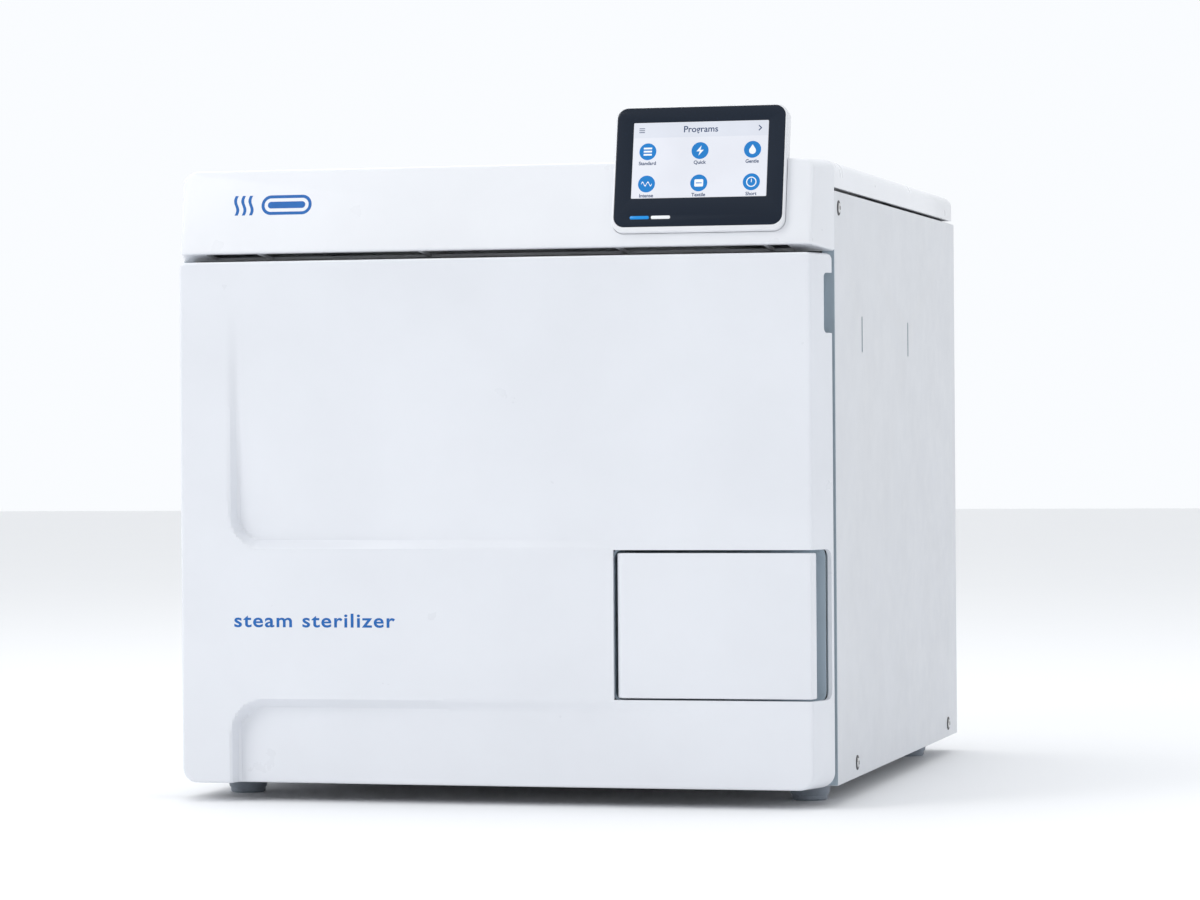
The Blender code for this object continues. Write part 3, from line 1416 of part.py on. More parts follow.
def build_fan():
    shroud = box(
        "fan_shroud",
        (FAN_X - FAN_FRAME, FAN_FRONT, FAN_Z - FAN_FRAME),
        (FAN_X + FAN_FRAME, FAN_BACK, FAN_Z + FAN_FRAME),
        "dark_plastic",
    )
    centre = (FAN_X, (FAN_FRONT + FAN_BACK) / 2, FAN_Z)
    cut(shroud, cylinder("fan_bore", centre, FAN_RADIUS, 2 * FAN_THICKNESS, "Y", segments=ROUND))
    half = FAN_SPOKE / 2
    reach = FAN_RADIUS + FAN_RIM / 4
    spokes = []
    for out, up, step in ((reach, half, 0.0), (half, reach, 0.0005)):
        low = (FAN_X - out, FAN_FRONT + step, FAN_Z - up)
        spokes.append((low, (FAN_X + out, FAN_FRONT + FAN_SPOKE_THICKNESS - step, FAN_Z + up)))
    motor_length = FAN_SPOKE_THICKNESS + RUNNING
    motor = cylinder("fan_motor", (FAN_X, FAN_FRONT + motor_length / 2, FAN_Z), FAN_HUB, motor_length, "Y")
    join(shroud, motor, boxes("fan_spokes", spokes))
    build_fan_rotor(FAN_FRONT + motor_length + 1.5 * RUNNING, FAN_BACK - 2 * RUNNING)


def build_fan_rotor(front, back):
    middle = (front + back) / 2
    hub = FAN_HUB + RUNNING
    rotor = cylinder("fan_rotor", (FAN_X, middle, FAN_Z), hub, back - front, "Y", "dark_plastic", 28)
    bm = bmesh.new()
    root = hub - MOULDED
    length = FAN_RADIUS - root - RUNNING
    size = Matrix.Diagonal((length, BLADE_THICKNESS, BLADE_WIDTH, 1.0))
    out = Matrix.Translation((root + length / 2, 0, 0))
    pitch = Matrix.Rotation(math.radians(BLADE_PITCH), 4, "X")
    at = Matrix.Translation((FAN_X, ahead(middle), FAN_Z))
    for number in range(BLADE_COUNT):
        turn = Matrix.Rotation(2 * math.pi * number / BLADE_COUNT, 4, "Y")
        bmesh.ops.create_cube(bm, size=1.0, matrix=at @ turn @ out @ pitch @ size)
    join(rotor, place("fan_blades", mesh_from("fan_blades", bm)))


def build_condenser():
    """A finned block in front of the fan."""
    back = FAN_FRONT - TOUCH
    pitch = 2 * FAN_FRAME / CONDENSER_FINS
    low = FAN_Z - FAN_FRAME
    left = FAN_X - FAN_FRAME
    right = FAN_X + FAN_FRAME
    spine = left + CONDENSER_SPINE
    outline = [(left, low)]
    for number in range(CONDENSER_FINS):
        z = low + number * pitch
        top = z + FIN_SHARE * pitch
        outline += [(spine, z), (right, z), (right, top), (spine, top)]
    outline = outline[:1] + outline[2:] + [(left, top)]
    block = outline_plate("condenser", [outline], CONDENSER_LENGTH, "stainless")
    upright(block, back - CONDENSER_LENGTH / 2)


def build_solenoid_manifold():
    x = MANIFOLD_SIDE - INNER_HALF
    high = FLOOR + MANIFOLD_HEIGHT
    block = box(
        "solenoid_manifold",
        (x - MANIFOLD_HALF, MANIFOLD_START, FLOOR),
        (x + MANIFOLD_HALF, MANIFOLD_START + MANIFOLD_LENGTH, high),
        "brass",
    )
    bm = bmesh.new()
    pitch = MANIFOLD_LENGTH / SOLENOIDS
    for number in range(SOLENOIDS):
        centre = (x, MANIFOLD_START + (number + 0.5) * pitch, high + SOLENOID_HEIGHT / 2 - CHAMFER)
        add_cylinder(bm, centre, SOLENOID_RADIUS, SOLENOID_HEIGHT, segments=16)
    join(block, place("solenoids", mesh_from("solenoids", bm)))


def build_safety_valve():
    """Spring-loaded valve behind the chamber, with a cap that is reached from the rear."""
    nearest = math.hypot(VALVE_X, VALVE_RISE) - VALVE_CAP_RADIUS
    bulge = (CHAMBER_DISH + CHAMBER_WALL) * math.sqrt(1 - (nearest / CHAMBER_OUTER) ** 2)
    start = CHAMBER_END + bulge + RUNNING
    end = DEPTH - RUNNING - VALVE_CAP_LENGTH
    length = end - start
    seat = length - VALVE_STEM
    profile = [
        (0.0, length),
        (NOZZLE_RADIUS, length),
        (NOZZLE_RADIUS, seat),
        (VALVE_RADIUS, seat),
        (VALVE_RADIUS, length * 0.45),
        (VALVE_STEM, length * 0.40),
        (VALVE_STEM, 0.0),
        (0.0, 0.0),
    ]
    at = (VALVE_X, start, VALVE_Z)
    turned("safety_valve", profile, at, "Y", "brass", SMALL_ROUND, closed=False)
    cap = [
        (0.0, VALVE_CAP_LENGTH),
        (VALVE_CAP_RADIUS - CHAMFER, VALVE_CAP_LENGTH),
        (VALVE_CAP_RADIUS, VALVE_CAP_LENGTH - CHAMFER),
        (VALVE_CAP_RADIUS, 0.0),
        (0.0, 0.0),
    ]
    at = (VALVE_X, end + TOUCH, VALVE_Z)
    turned("safety_valve_cap", cap, at, "Y", "brass", SMALL_ROUND, closed=False)


def build_main_board():
    """A board on four pillars at the casing's left wall, with its larger components."""
    x = BOARD_SIDE - INNER_HALF
    face = x + BOARD_THICKNESS
    low = TANK_LOW - BOARD_DROP
    back = BOARD_START + BOARD_LENGTH
    board = box("main_board", (x, BOARD_START, low), (face, back, low + BOARD_HEIGHT), "board")
    chips = []
    for row in range(3):
        for column in range(4):
            depth = BOARD_START + 0.012 + column * 0.054
            z = low + 0.014 + row * 0.048
            height = 0.006 * (1 + (row + column) % 3)
            chips.append(((x + 0.001, depth, z), (face + height, depth + 0.030, z + 0.028)))
    pillar = 0.006
    pillars = []
    for depth in (BOARD_START + 0.004, back - 0.010):
        for z in (low + 0.004, low + BOARD_HEIGHT - 0.010):
            pillars.append(((-INNER_HALF, depth, z), (x + 0.0008, depth + pillar, z + pillar)))
    join(board, boxes("board_parts", chips), boxes("board_pillars", pillars))


def build_mains_inlet():
    """An appliance inlet in the rear panel, with its socket open to the rear."""

    def block(name, margin, front, back, finish=None):
        half_width = INLET_WIDTH / 2 + margin
        half_height = INLET_HEIGHT / 2 + margin
        low = (INLET_X - half_width, front, INLET_Z - half_height)
        return box(name, low, (INLET_X + half_width, back, INLET_Z + half_height), finish)

    face = REAR_BACK + TOUCH
    body = block("mains_inlet", 0.0, REAR_FRONT - INLET_DEPTH, face + INLET_PROUD - 0.0002, "dark_plastic")
    join(body, block("inlet_rim", INLET_RIM, face, face + INLET_PROUD))
    socket_front = REAR_FRONT - INLET_DEPTH + MOULDED + INLET_WALL
    cut(body, block("inlet_socket", -INLET_WALL, socket_front, DEPTH + INLET_DEPTH))


def build_power_switch():
    """A rocker switch that faces the door's side notch. Its upper half is pressed in at rest."""
    frame = box(
        "power_switch_frame",
        (SWITCH_LEFT, SWITCH_FRONT, SWITCH_LOW),
        (SWITCH_RIGHT, PANEL_FRONT - TOUCH, SWITCH_LOW + SWITCH_HEIGHT),
        "grey_plastic",
        bevel=0.0008,
        segments=1,
    )
    half_y = ROCKER_HALF_Y + 0.0004
    half_z = ROCKER_HALF_Z + RUNNING
    seat = box(
        "rocker_seat",
        (SWITCH_RIGHT - 0.010, ROCKER_DEPTH - half_y, SWITCH_MIDDLE - half_z),
        (SWITCH_RIGHT + 0.010, ROCKER_DEPTH + half_y, SWITCH_MIDDLE + half_z),
    )
    cut(frame, seat)
    rocker = outline_plate("power_switch_rocker", [rocker_profile()], 2 * ROCKER_HALF_Y, "dark_plastic")
    upright(rocker, ROCKER_DEPTH)


def rocker_profile():
    """Seen along the rocker's axis: two faces that meet in a shallow ridge, and a rounded root."""
    tilt = math.radians(-2 * ROCKER_TILT)
    low_x = ROCKER_FACE * math.cos(tilt) + ROCKER_HALF_Z * math.sin(tilt)
    low_z = ROCKER_FACE * math.sin(tilt) - ROCKER_HALF_Z * math.cos(tilt)
    points = [(low_x, low_z), (ROCKER_FACE, 0.0), (ROCKER_FACE, ROCKER_HALF_Z), (RUNNING, ROCKER_HALF_Z)]
    points += arc((0.0, 0.0), ROCKER_ROOT, 100, 240, 5)
    points.append((0.8 * RUNNING, -0.9 * ROCKER_HALF_Z))
    return [(ROCKER_X + x, SWITCH_MIDDLE + z) for x, z in points]


def build_overheat_reset_button():
    """A button through the rear panel, kept in by its collar."""
    start = REAR_FRONT - TOUCH - 2 * RESET_COLLAR
    collar = 2 * RESET_COLLAR
    length = REAR_BACK + RESET_PROUD - start
    edge = RESET_PROUD / 2
    profile = [
        (0.0, length),
        (RESET_RADIUS - edge, length),
        (RESET_RADIUS, length - edge),
        (RESET_RADIUS, collar),
        (RESET_RADIUS + RESET_COLLAR, collar),
        (RESET_RADIUS + RESET_COLLAR, 0.0),
        (0.0, 0.0),
    ]
    at = (INLET_X, start, RESET_Z)
    turned("overheat_reset_button", profile, at, "Y", "dark_plastic", SMALL_ROUND, closed=False)


def build_sterile_filter():
    """Air filter that passes through the front panel, with its cap behind the door."""
    rim = FILTER_RADIUS + FILTER_RIM
    neck = FILTER_LENGTH - NOZZLE_LENGTH
    profile = [
        (0.0, FILTER_LENGTH),
        (NOZZLE_RADIUS, FILTER_LENGTH),
        (NOZZLE_RADIUS, neck),
        (FILTER_RADIUS, neck - FILTER_RIM),
        (FILTER_RADIUS, FILTER_CAP),
        (rim, FILTER_CAP),
        (rim, 0.001),
        (rim - 0.001, 0.0),
        (0.0, 0.0),
    ]
    at = (FILTER_X, PANEL_FRONT - TOUCH - FILTER_CAP, FILTER_Z)
    turned("sterile_filter", profile, at, "Y", "tank", 28, closed=False)


# Moving pieces, each on its joint's axis


def hang_moving_pieces():
    door = ("door_cover", "door_inner_cover", "door_plate", "door_gasket", "door_crossbar", "striker")
    grip_fixings = ("grip_recess", "grip_pin", "grip_spring")
    hang("door_axis", (HINGE_X, HINGE_DEPTH, CHAMBER_Z), door + grip_fixings)
    hang("grip_axis", (GRIP_PIN_X, GRIP_PIN_DEPTH, GRIP_MIDDLE), ["closing_grip"])
    hang("rocker_axis", (ROCKER_X, ROCKER_DEPTH, SWITCH_MIDDLE), ["power_switch_rocker"])
    hang("cover_axis", (0, CASE_FRONT, SKIRT_LOW), ["top_cover"])
    hang("fan_axis", (FAN_X, FAN_FRONT, FAN_Z), ["fan_rotor"])
    hang("valve_axis", (VALVE_X, DEPTH, VALVE_Z), ["safety_valve_cap"])
    hang("reset_axis", (INLET_X, DEPTH, RESET_Z), ["overheat_reset_button"])


def build():
    build_base_plate()
    build_front_panel()
    build_rear_panel()
    for side, word in ((-1, "left"), (1, "right")):
        build_side_panel(f"side_panel_{word}", side)
        build_side_screws(side, word)
    build_header_cover()
    build_top_cover()
    build_feet()
    build_display()
    build_chamber()
    build_chamber_jacket()
    build_chamber_stand()
    build_tray_rack()
    build_trays()
    build_door_cover()
    build_door_inner_cover()
    build_door_crossbar()
    build_door_plate()
    build_hinge()
    build_closing_grip()
    build_grip_spring()
    build_grip_recess()
    build_striker()
    build_lock_claw()
    build_lock_frame()
    build_lock_motor()
    build_tanks()
    build_vacuum_pump()
    build_fan()
    build_condenser()
    build_solenoid_manifold()
    build_safety_valve()
    build_main_board()
    build_mains_inlet()
    build_power_switch()
    build_overheat_reset_button()
    build_sterile_filter()
    hang_moving_pieces()


build()
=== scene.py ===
"""Looks of the benchtop autoclave: fine surfaces and finishes on the fixed frame."""

import math

import bmesh
import bpy
from mathutils import Matrix, Vector


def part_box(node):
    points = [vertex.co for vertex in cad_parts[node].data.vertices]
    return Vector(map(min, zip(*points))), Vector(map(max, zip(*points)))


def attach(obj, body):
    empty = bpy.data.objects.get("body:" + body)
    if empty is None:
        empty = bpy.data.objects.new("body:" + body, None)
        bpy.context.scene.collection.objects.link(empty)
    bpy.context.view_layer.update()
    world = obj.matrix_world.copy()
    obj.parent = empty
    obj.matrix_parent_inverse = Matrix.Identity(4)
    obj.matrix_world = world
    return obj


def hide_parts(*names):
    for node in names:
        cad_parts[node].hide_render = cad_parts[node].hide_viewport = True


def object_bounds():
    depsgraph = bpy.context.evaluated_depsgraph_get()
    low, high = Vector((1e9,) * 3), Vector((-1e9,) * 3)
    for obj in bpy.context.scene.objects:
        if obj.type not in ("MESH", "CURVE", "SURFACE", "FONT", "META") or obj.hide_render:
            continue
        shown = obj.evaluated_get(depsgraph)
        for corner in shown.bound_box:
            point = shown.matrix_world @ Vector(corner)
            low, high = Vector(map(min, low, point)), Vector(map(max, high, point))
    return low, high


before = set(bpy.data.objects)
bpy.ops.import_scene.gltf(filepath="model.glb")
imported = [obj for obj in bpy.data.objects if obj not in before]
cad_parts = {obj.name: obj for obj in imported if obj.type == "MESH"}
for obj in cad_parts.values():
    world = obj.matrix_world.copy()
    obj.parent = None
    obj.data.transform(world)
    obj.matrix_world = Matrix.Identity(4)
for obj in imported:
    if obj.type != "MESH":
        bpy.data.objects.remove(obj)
SIZE_OF_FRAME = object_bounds()

LOW, HIGH = SIZE_OF_FRAME
DOOR_LO, DOOR_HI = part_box("door_cover")
SIDE_LO, SIDE_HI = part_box("side_panel_right")
HEADER_LO, HEADER_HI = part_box("header_cover")
TOP_LO, TOP_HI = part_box("top_cover")
GRIP_LO, GRIP_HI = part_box("closing_grip")
FRONT = DOOR_LO.y  # plane of the door's face
HALF = SIDE_HI.x  # half of the casing's width

# Shapes that the boxes of the CAD nodes don't give
DOOR_FLARE = 0.0112
DOOR_STRIP = 0.0105  # from the CAD door's widest point in to its face
DOOR_EDGE = 0.0020
DOOR_WALL = 0.003
RECESS_DEPTH = 0.013
RECESS_WALL = 0.0085
RECESS_RADIUS = 0.030
RECESS_COLUMN = 0.041
HEADER_LEAN = 0.015
HEADER_DROP = 0.0046

DOOR_HALF = DOOR_HI.x - DOOR_STRIP
DOOR_DEPTH = DOOR_HI.y - FRONT


# Materials


class Shader:
    """A Principled material with its node tree, built up a layer at a time."""

    def __init__(self, name, colour, roughness, metallic=0.0, **sockets):
        self.material = bpy.data.materials.new(name)
        self.material.use_nodes = True
        tree = self.material.node_tree
        self.nodes = tree.nodes
        self.links = tree.links
        self.surface = self.nodes["Principled BSDF"]
        self.surface.inputs["Base Color"].default_value = (*colour, 1.0)
        self.surface.inputs["Roughness"].default_value = roughness
        self.surface.inputs["Metallic"].default_value = metallic
        for socket, value in sockets.items():
            self.surface.inputs[socket.replace("_", " ")].default_value = value
        self.colour = colour
        self.height = None

    def place(self, stretch=(1.0, 1.0, 1.0)):
        where = self.nodes.new("ShaderNodeTexCoord")
        spread = self.nodes.new("ShaderNodeMapping")
        spread.inputs["Scale"].default_value = stretch
        self.links.new(where.outputs["Object"], spread.inputs["Vector"])
        return spread.outputs["Vector"]

    def noise(self, scale, detail=3.0, stretch=(1.0, 1.0, 1.0)):
        made = self.nodes.new("ShaderNodeTexNoise")
        made.inputs["Scale"].default_value = scale
        made.inputs["Detail"].default_value = detail
        self.links.new(self.place(stretch), made.inputs["Vector"])
        return made.outputs["Fac"]

    def cells(self, scale, stretch=(1.0, 1.0, 1.0)):
        made = self.nodes.new("ShaderNodeTexVoronoi")
        made.inputs["Scale"].default_value = scale
        self.links.new(self.place(stretch), made.inputs["Vector"])
        return made.outputs["Distance"]

    def spread(self, value, low, high, start=0.3, end=0.7):
        made = self.nodes.new("ShaderNodeMapRange")
        made.inputs["From Min"].default_value = start
        made.inputs["From Max"].default_value = end
        made.inputs["To Min"].default_value = low
        made.inputs["To Max"].default_value = high
        self.links.new(value, made.inputs["Value"])
        return made.outputs["Result"]

    def tint(self, value, other, start=0.3, end=0.7):
        """Blends the base colour towards another where the value is high."""
        blend = self.nodes.new("ShaderNodeMix")
        blend.data_type = "RGBA"
        blend.inputs["A"].default_value = (*self.colour, 1.0)
        blend.inputs["B"].default_value = (*other, 1.0)
        before = self.surface.inputs["Base Color"].links
        if before:
            self.links.new(before[0].from_socket, blend.inputs["A"])
        self.links.new(self.spread(value, 0.0, 1.0, start, end), blend.inputs["Factor"])
        self.links.new(blend.outputs["Result"], self.surface.inputs["Base Color"])
        return self

    def rough(self, value, low, high, start=0.3, end=0.7):
        self.links.new(self.spread(value, low, high, start, end), self.surface.inputs["Roughness"])
        return self

    def bump(self, value, distance, strength=1.0):
        made = self.nodes.new("ShaderNodeBump")
        made.inputs["Distance"].default_value = distance
        made.inputs["Strength"].default_value = strength
        self.links.new(value, made.inputs["Height"])
        if self.height is not None:
            self.links.new(self.height, made.inputs["Normal"])
        self.height = made.outputs["Normal"]
        self.links.new(self.height, self.surface.inputs["Normal"])
        return self

    def worn(self, other, start=0.53, end=0.60):
        """Wear along convex edges."""
        geometry = self.nodes.new("ShaderNodeNewGeometry")
        return self.tint(geometry.outputs["Pointiness"], other, start, end)


def white_paint(name, colour):
    made = Shader(name, colour, 0.32, Coat_Weight=0.25, Coat_Roughness=0.12)
    made.tint(made.noise(9.0, 4.0), tuple(0.955 * part for part in colour), 0.35, 0.75)
    made.rough(made.noise(28.0, 5.0), 0.27, 0.40)
    made.bump(made.noise(900.0, 2.0), 0.00002, 0.35)
    made.bump(made.noise(70.0, 1.0), 0.00006, 0.20)
    return made.material


def powder_coat(name, colour):
    made = Shader(name, colour, 0.45)
    made.tint(made.noise(14.0, 4.0), tuple(0.94 * part for part in colour))
    made.rough(made.noise(60.0, 4.0), 0.38, 0.54)
    made.bump(made.cells(1400.0), 0.00004, 0.45)
    made.bump(made.noise(300.0, 2.0), 0.00003, 0.30)
    made.worn((0.70, 0.71, 0.73))
    return made.material


def moulded(name, colour, roughness, grain=1800.0):
    made = Shader(name, colour, roughness)
    made.tint(made.noise(40.0, 3.0), tuple(min(1.0, 1.18 * part) for part in colour))
    made.rough(made.noise(120.0, 4.0), roughness - 0.08, roughness + 0.10)
    made.bump(made.cells(grain), 0.00003, 0.6)
    made.worn(tuple(min(1.0, 1.5 * part + 0.02) for part in colour))
    return made.material


def brushed(name, colour, roughness, stretch):
    """Steel with a fine grain. The stretch has its low value along the grain."""
    made = Shader(name, colour, roughness, 1.0)
    lines = made.noise(600.0, 4.0, stretch)
    made.tint(lines, tuple(0.86 * part for part in colour))
    made.rough(made.noise(300.0, 3.0, stretch), roughness - 0.07, roughness + 0.12)
    made.bump(lines, 0.00002, 0.35)
    made.tint(made.noise(18.0, 5.0), tuple(0.93 * part for part in colour), 0.5, 0.8)
    return made.material


def zinc_plate(name):
    made = Shader(name, (0.55, 0.56, 0.58), 0.36, 1.0)
    made.tint(made.cells(160.0), (0.66, 0.67, 0.68), 0.1, 0.8)
    made.tint(made.noise(35.0, 4.0), (0.48, 0.49, 0.52))
    made.rough(made.noise(80.0, 4.0), 0.28, 0.48)
    made.bump(made.noise(700.0, 3.0), 0.00003, 0.4)
    return made.material


def brass_metal(name):
    made = Shader(name, (0.72, 0.52, 0.22), 0.28, 1.0)
    made.tint(made.noise(55.0, 5.0), (0.55, 0.38, 0.16))
    made.rough(made.noise(140.0, 4.0), 0.20, 0.42)
    made.bump(made.noise(900.0, 2.0, (1.0, 0.1, 1.0)), 0.00002, 0.4)
    return made.material


def elastic(name, colour, roughness=0.65):
    made = Shader(name, colour, roughness, Sheen_Weight=0.15)
    made.tint(made.noise(90.0, 5.0), tuple(0.82 * part for part in colour))
    made.rough(made.noise(160.0, 4.0), roughness - 0.1, roughness + 0.12)
    made.bump(made.noise(1500.0, 3.0), 0.00004, 0.5)
    return made.material


def fibre_mat(name):
    made = Shader(name, (0.62, 0.60, 0.55), 0.95, Sheen_Weight=0.3)
    made.tint(made.noise(120.0, 6.0, (1.0, 0.3, 1.0)), (0.42, 0.40, 0.36))
    made.bump(made.noise(400.0, 6.0, (1.0, 0.4, 1.0)), 0.0008, 0.8)
    made.bump(made.cells(90.0), 0.0006, 0.5)
    return made.material


def cloudy_plastic(name):
    made = Shader(name, (0.80, 0.83, 0.84), 0.42, Transmission_Weight=0.35, IOR=1.49)
    made.tint(made.noise(25.0, 3.0), (0.72, 0.76, 0.78))
    made.rough(made.noise(70.0, 4.0), 0.34, 0.52)
    made.bump(made.noise(500.0, 2.0), 0.00004, 0.4)
    return made.material


def circuit_board(name):
    made = Shader(name, (0.015, 0.16, 0.07), 0.40)
    tracks = made.cells(140.0, (0.2, 1.0, 1.0))
    made.tint(tracks, (0.03, 0.26, 0.12), 0.35, 0.42)
    made.bump(tracks, 0.00006, 0.5)
    made.rough(made.noise(200.0), 0.3, 0.5)
    return made.material


def cover_glass(name):
    made = Shader(name, (0.006, 0.012, 0.024), 0.06, Specular_IOR_Level=0.32, IOR=1.5)
    made.rough(made.noise(35.0, 6.0), 0.05, 0.12, 0.45, 0.8)
    made.tint(made.noise(8.0, 2.0), (0.008, 0.015, 0.029))
    return made.material


def glowing(name, colour):
    """A lit area under glass, with a faint fall-off over its surface."""
    dim = tuple(0.35 * part for part in colour)
    made = Shader(name, dim, 0.18)
    made.surface.inputs["Emission Strength"].default_value = 0.7
    blend = made.nodes.new("ShaderNodeMix")
    blend.data_type = "RGBA"
    blend.inputs["A"].default_value = (*colour, 1.0)
    blend.inputs["B"].default_value = (*(0.93 * part for part in colour), 1.0)
    made.links.new(made.spread(made.noise(20.0, 2.0), 0.0, 1.0), blend.inputs["Factor"])
    made.links.new(blend.outputs["Result"], made.surface.inputs["Emission Color"])
    made.tint(made.noise(20.0, 2.0), tuple(0.93 * part for part in dim))
    return made.material


def printed_ink(name, colour):
    made = Shader(name, colour, 0.38)
    made.tint(made.noise(200.0, 4.0), tuple(0.88 * part for part in colour))
    made.rough(made.noise(300.0, 3.0), 0.32, 0.46)
    return made.material


DOOR_WHITE = white_paint("door_white", (0.80, 0.82, 0.865))
HEADER_WHITE = white_paint("header_white", (0.84, 0.855, 0.89))
HOUSING_WHITE = white_paint("housing_white", (0.80, 0.81, 0.84))
SIDE_GREY = powder_coat("side_paint", (0.72, 0.74, 0.78))
# Grey of the moulded recesses, also put on the side panels' front flanges as painted shade for the door gap.
RECESS_GREY_AND_GAP_SHADE = moulded("recess_grey_and_gap_shade", (0.27, 0.33, 0.38), 0.52)
# Black plastic, also used for the dark ring round the side screws, which is painted shade.
BLACK_PLASTIC_AND_SHADE = moulded("black_plastic_and_shade", (0.018, 0.018, 0.020), 0.48)
DARK_GREY = moulded("dark_grey_plastic", (0.06, 0.065, 0.07), 0.55)
STEEL_SIDEWAYS = brushed("steel_sideways_grain", (0.62, 0.62, 0.62), 0.26, (0.02, 1.0, 1.0))
STEEL_DEPTHWISE = brushed("steel_depthwise_grain", (0.64, 0.64, 0.63), 0.24, (1.0, 0.02, 1.0))
STEEL_UPRIGHT = brushed("steel_upright_grain", (0.66, 0.66, 0.66), 0.20, (1.0, 1.0, 0.02))
ZINC = zinc_plate("zinc_plate")
BRASS = brass_metal("brass")
SILICONE = elastic("silicone", (0.78, 0.77, 0.73), 0.5)
FOOT_RUBBER = elastic("foot_rubber", (0.33, 0.37, 0.43))
FIBRE = fibre_mat("fibre_mat")
TANK = cloudy_plastic("tank_plastic")
BOARD = circuit_board("circuit_board")
GLASS = cover_glass("cover_glass")
SCREEN_LIT = glowing("screen_lit", (0.79, 0.81, 0.88))
SCREEN_BAR = glowing("screen_bar", (0.73, 0.76, 0.84))
ICON_BLUE = glowing("icon_blue", (0.005, 0.20, 0.58))
ICON_WHITE = glowing("icon_white", (0.92, 0.95, 0.98))
SCREEN_INK = glowing("screen_ink", (0.02, 0.05, 0.14))
LIGHT_BLUE = glowing("light_blue", (0.01, 0.28, 0.76))
LIGHT_WHITE = glowing("light_white", (0.90, 0.93, 0.97))
BLUE_INK = printed_ink("blue_ink", (0.0, 0.13, 0.46))


# Mesh helpers


def show(name, mesh, material, body, replaced=()):
    piece = bpy.data.objects.new(name, mesh)
    bpy.context.scene.collection.objects.link(piece)
    mesh.materials.clear()
    mesh.materials.append(material)
    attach(piece, body)
    if replaced:
        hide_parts(*replaced)
    return piece


def mesh_of(name, bm):
    mesh = bpy.data.meshes.new(name)
    bmesh.ops.recalc_face_normals(bm, faces=bm.faces)
    bm.to_mesh(mesh)
    bm.free()
    return mesh


def soften(mesh, degrees=40):
    mesh.shade_smooth()
    mesh.set_sharp_from_angle(angle=math.radians(degrees))
    return mesh


def add_box(bm, low, high):
    size = Vector(high) - Vector(low)
    middle = (Vector(high) + Vector(low)) / 2
    spread = Matrix.Translation(middle) @ Matrix.Diagonal((*size, 1.0))
    return bmesh.ops.create_cube(bm, size=1.0, matrix=spread)["verts"]


def rounded_box(name, low, high, radius, segments=3):
    bm = bmesh.new()
    add_box(bm, low, high)
    bmesh.ops.bevel(bm, geom=bm.edges[:], offset=radius, segments=segments, affect="EDGES", profile=0.5)
    return soften(mesh_of(name, bm))


def cutter(name, mesh):
    made = bpy.data.objects.new(name, mesh)
    bpy.context.scene.collection.objects.link(made)
    return made


def finished(piece):
    """Applies the modifiers, so that the mesh is final."""
    bpy.context.view_layer.update()
    graph = bpy.context.evaluated_depsgraph_get()
    mesh = bpy.data.meshes.new_from_object(piece.evaluated_get(graph))
    old = piece.data
    piece.modifiers.clear()
    piece.data = mesh
    bpy.data.meshes.remove(old)
    return piece


def cut(piece, *cutters):
    for other in cutters:
        step = piece.modifiers.new(other.name, "BOOLEAN")
        step.operation = "DIFFERENCE"
        step.object = other
        step.solver = "EXACT"
    finished(piece)
    for other in cutters:
        bpy.data.objects.remove(other)
    return piece


def thicken(piece, wall):
    solid = piece.modifiers.new("wall", "SOLIDIFY")
    solid.thickness = wall
    solid.offset = -1.0
    solid.use_even_offset = True


def break_edges(piece, width, segments=2, degrees=35):
    bevel = piece.modifiers.new("edges", "BEVEL")
    bevel.width = width
    bevel.segments = segments
    bevel.limit_method = "ANGLE"
    bevel.angle_limit = math.radians(degrees)
    bevel.harden_normals = True


def arc(centre, radius, start, end, steps):
    x, y = centre
    found = []
    for step in range(steps + 1):
        angle = math.radians(start + (end - start) * step / steps)
        found.append((x + radius * math.cos(angle), y + radius * math.sin(angle)))
    return found


def rounded_rectangle(left, low, width, height, radius, steps=8):
    right = left + width
    high = low + height
    corners = (
        ((right - radius, high - radius), 0),
        ((left + radius, high - radius), 90),
        ((left + radius, low + radius), 180),
        ((right - radius, low + radius), 270),
    )
    return [point for centre, start in corners for point in arc(centre, radius, start, start + 90, steps)]


def turned(name, profile, centre, axis="Y", segments=72):
    """A turned mesh. The profile is (radius, distance along the axis), closed by itself."""
    bm = bmesh.new()
    points = [bm.verts.new((radius, 0.0, height)) for radius, height in profile]
    edges = [bm.edges.new(pair) for pair in zip(points, points[1:] + points[:1])]
    bmesh.ops.spin(
        bm,
        geom=points + edges,
        cent=(0, 0, 0),
        axis=(0, 0, 1),
        angle=2 * math.pi,
        steps=segments,
        use_merge=True,
        use_duplicate=False,
    )
    bmesh.ops.remove_doubles(bm, verts=bm.verts, dist=0.000005)
    turn = {
        "X": Matrix.Rotation(math.radians(90), 4, "Y"),
        "Y": Matrix.Rotation(math.radians(-90), 4, "X"),
        "Z": Matrix.Identity(4),
    }[axis]
    bm.transform(Matrix.Translation(centre) @ turn)
    return soften(mesh_of(name, bm), 32)


# Door cover


def corner_distance(across, up):
    if across < RECESS_RADIUS and up < RECESS_RADIUS:
        return RECESS_RADIUS - math.hypot(across - RECESS_RADIUS, up - RECESS_RADIUS)
    return min(across, up)


def wall_step(distance):
    share = min(max(distance / RECESS_WALL, 0.0), 1.0)
    return share * share * (3.0 - 2.0 * share)


UPPER_RECESS_LOW = DOOR_LO.z + 0.191
LOWER_RECESS_TOP = DOOR_LO.z + 0.0698


def recess(x, z):
    """Depth of the door's face behind its highest plane."""
    left = RECESS_COLUMN - DOOR_HALF
    reach = min(max((x - left) / (DOOR_HALF - left), 0.0), 1.0)
    fade = (1.0 - reach) ** 2
    upper_top = DOOR_HI.z - 0.033
    rise = min(max((z - UPPER_RECESS_LOW) / (upper_top - UPPER_RECESS_LOW), 0.0), 1.0)
    upper = wall_step(corner_distance(x - left, z - UPPER_RECESS_LOW)) * fade * (1.0 - rise) ** 1.2
    lower = wall_step(corner_distance(x - left, LOWER_RECESS_TOP - z)) * fade
    return RECESS_DEPTH * (upper + lower)


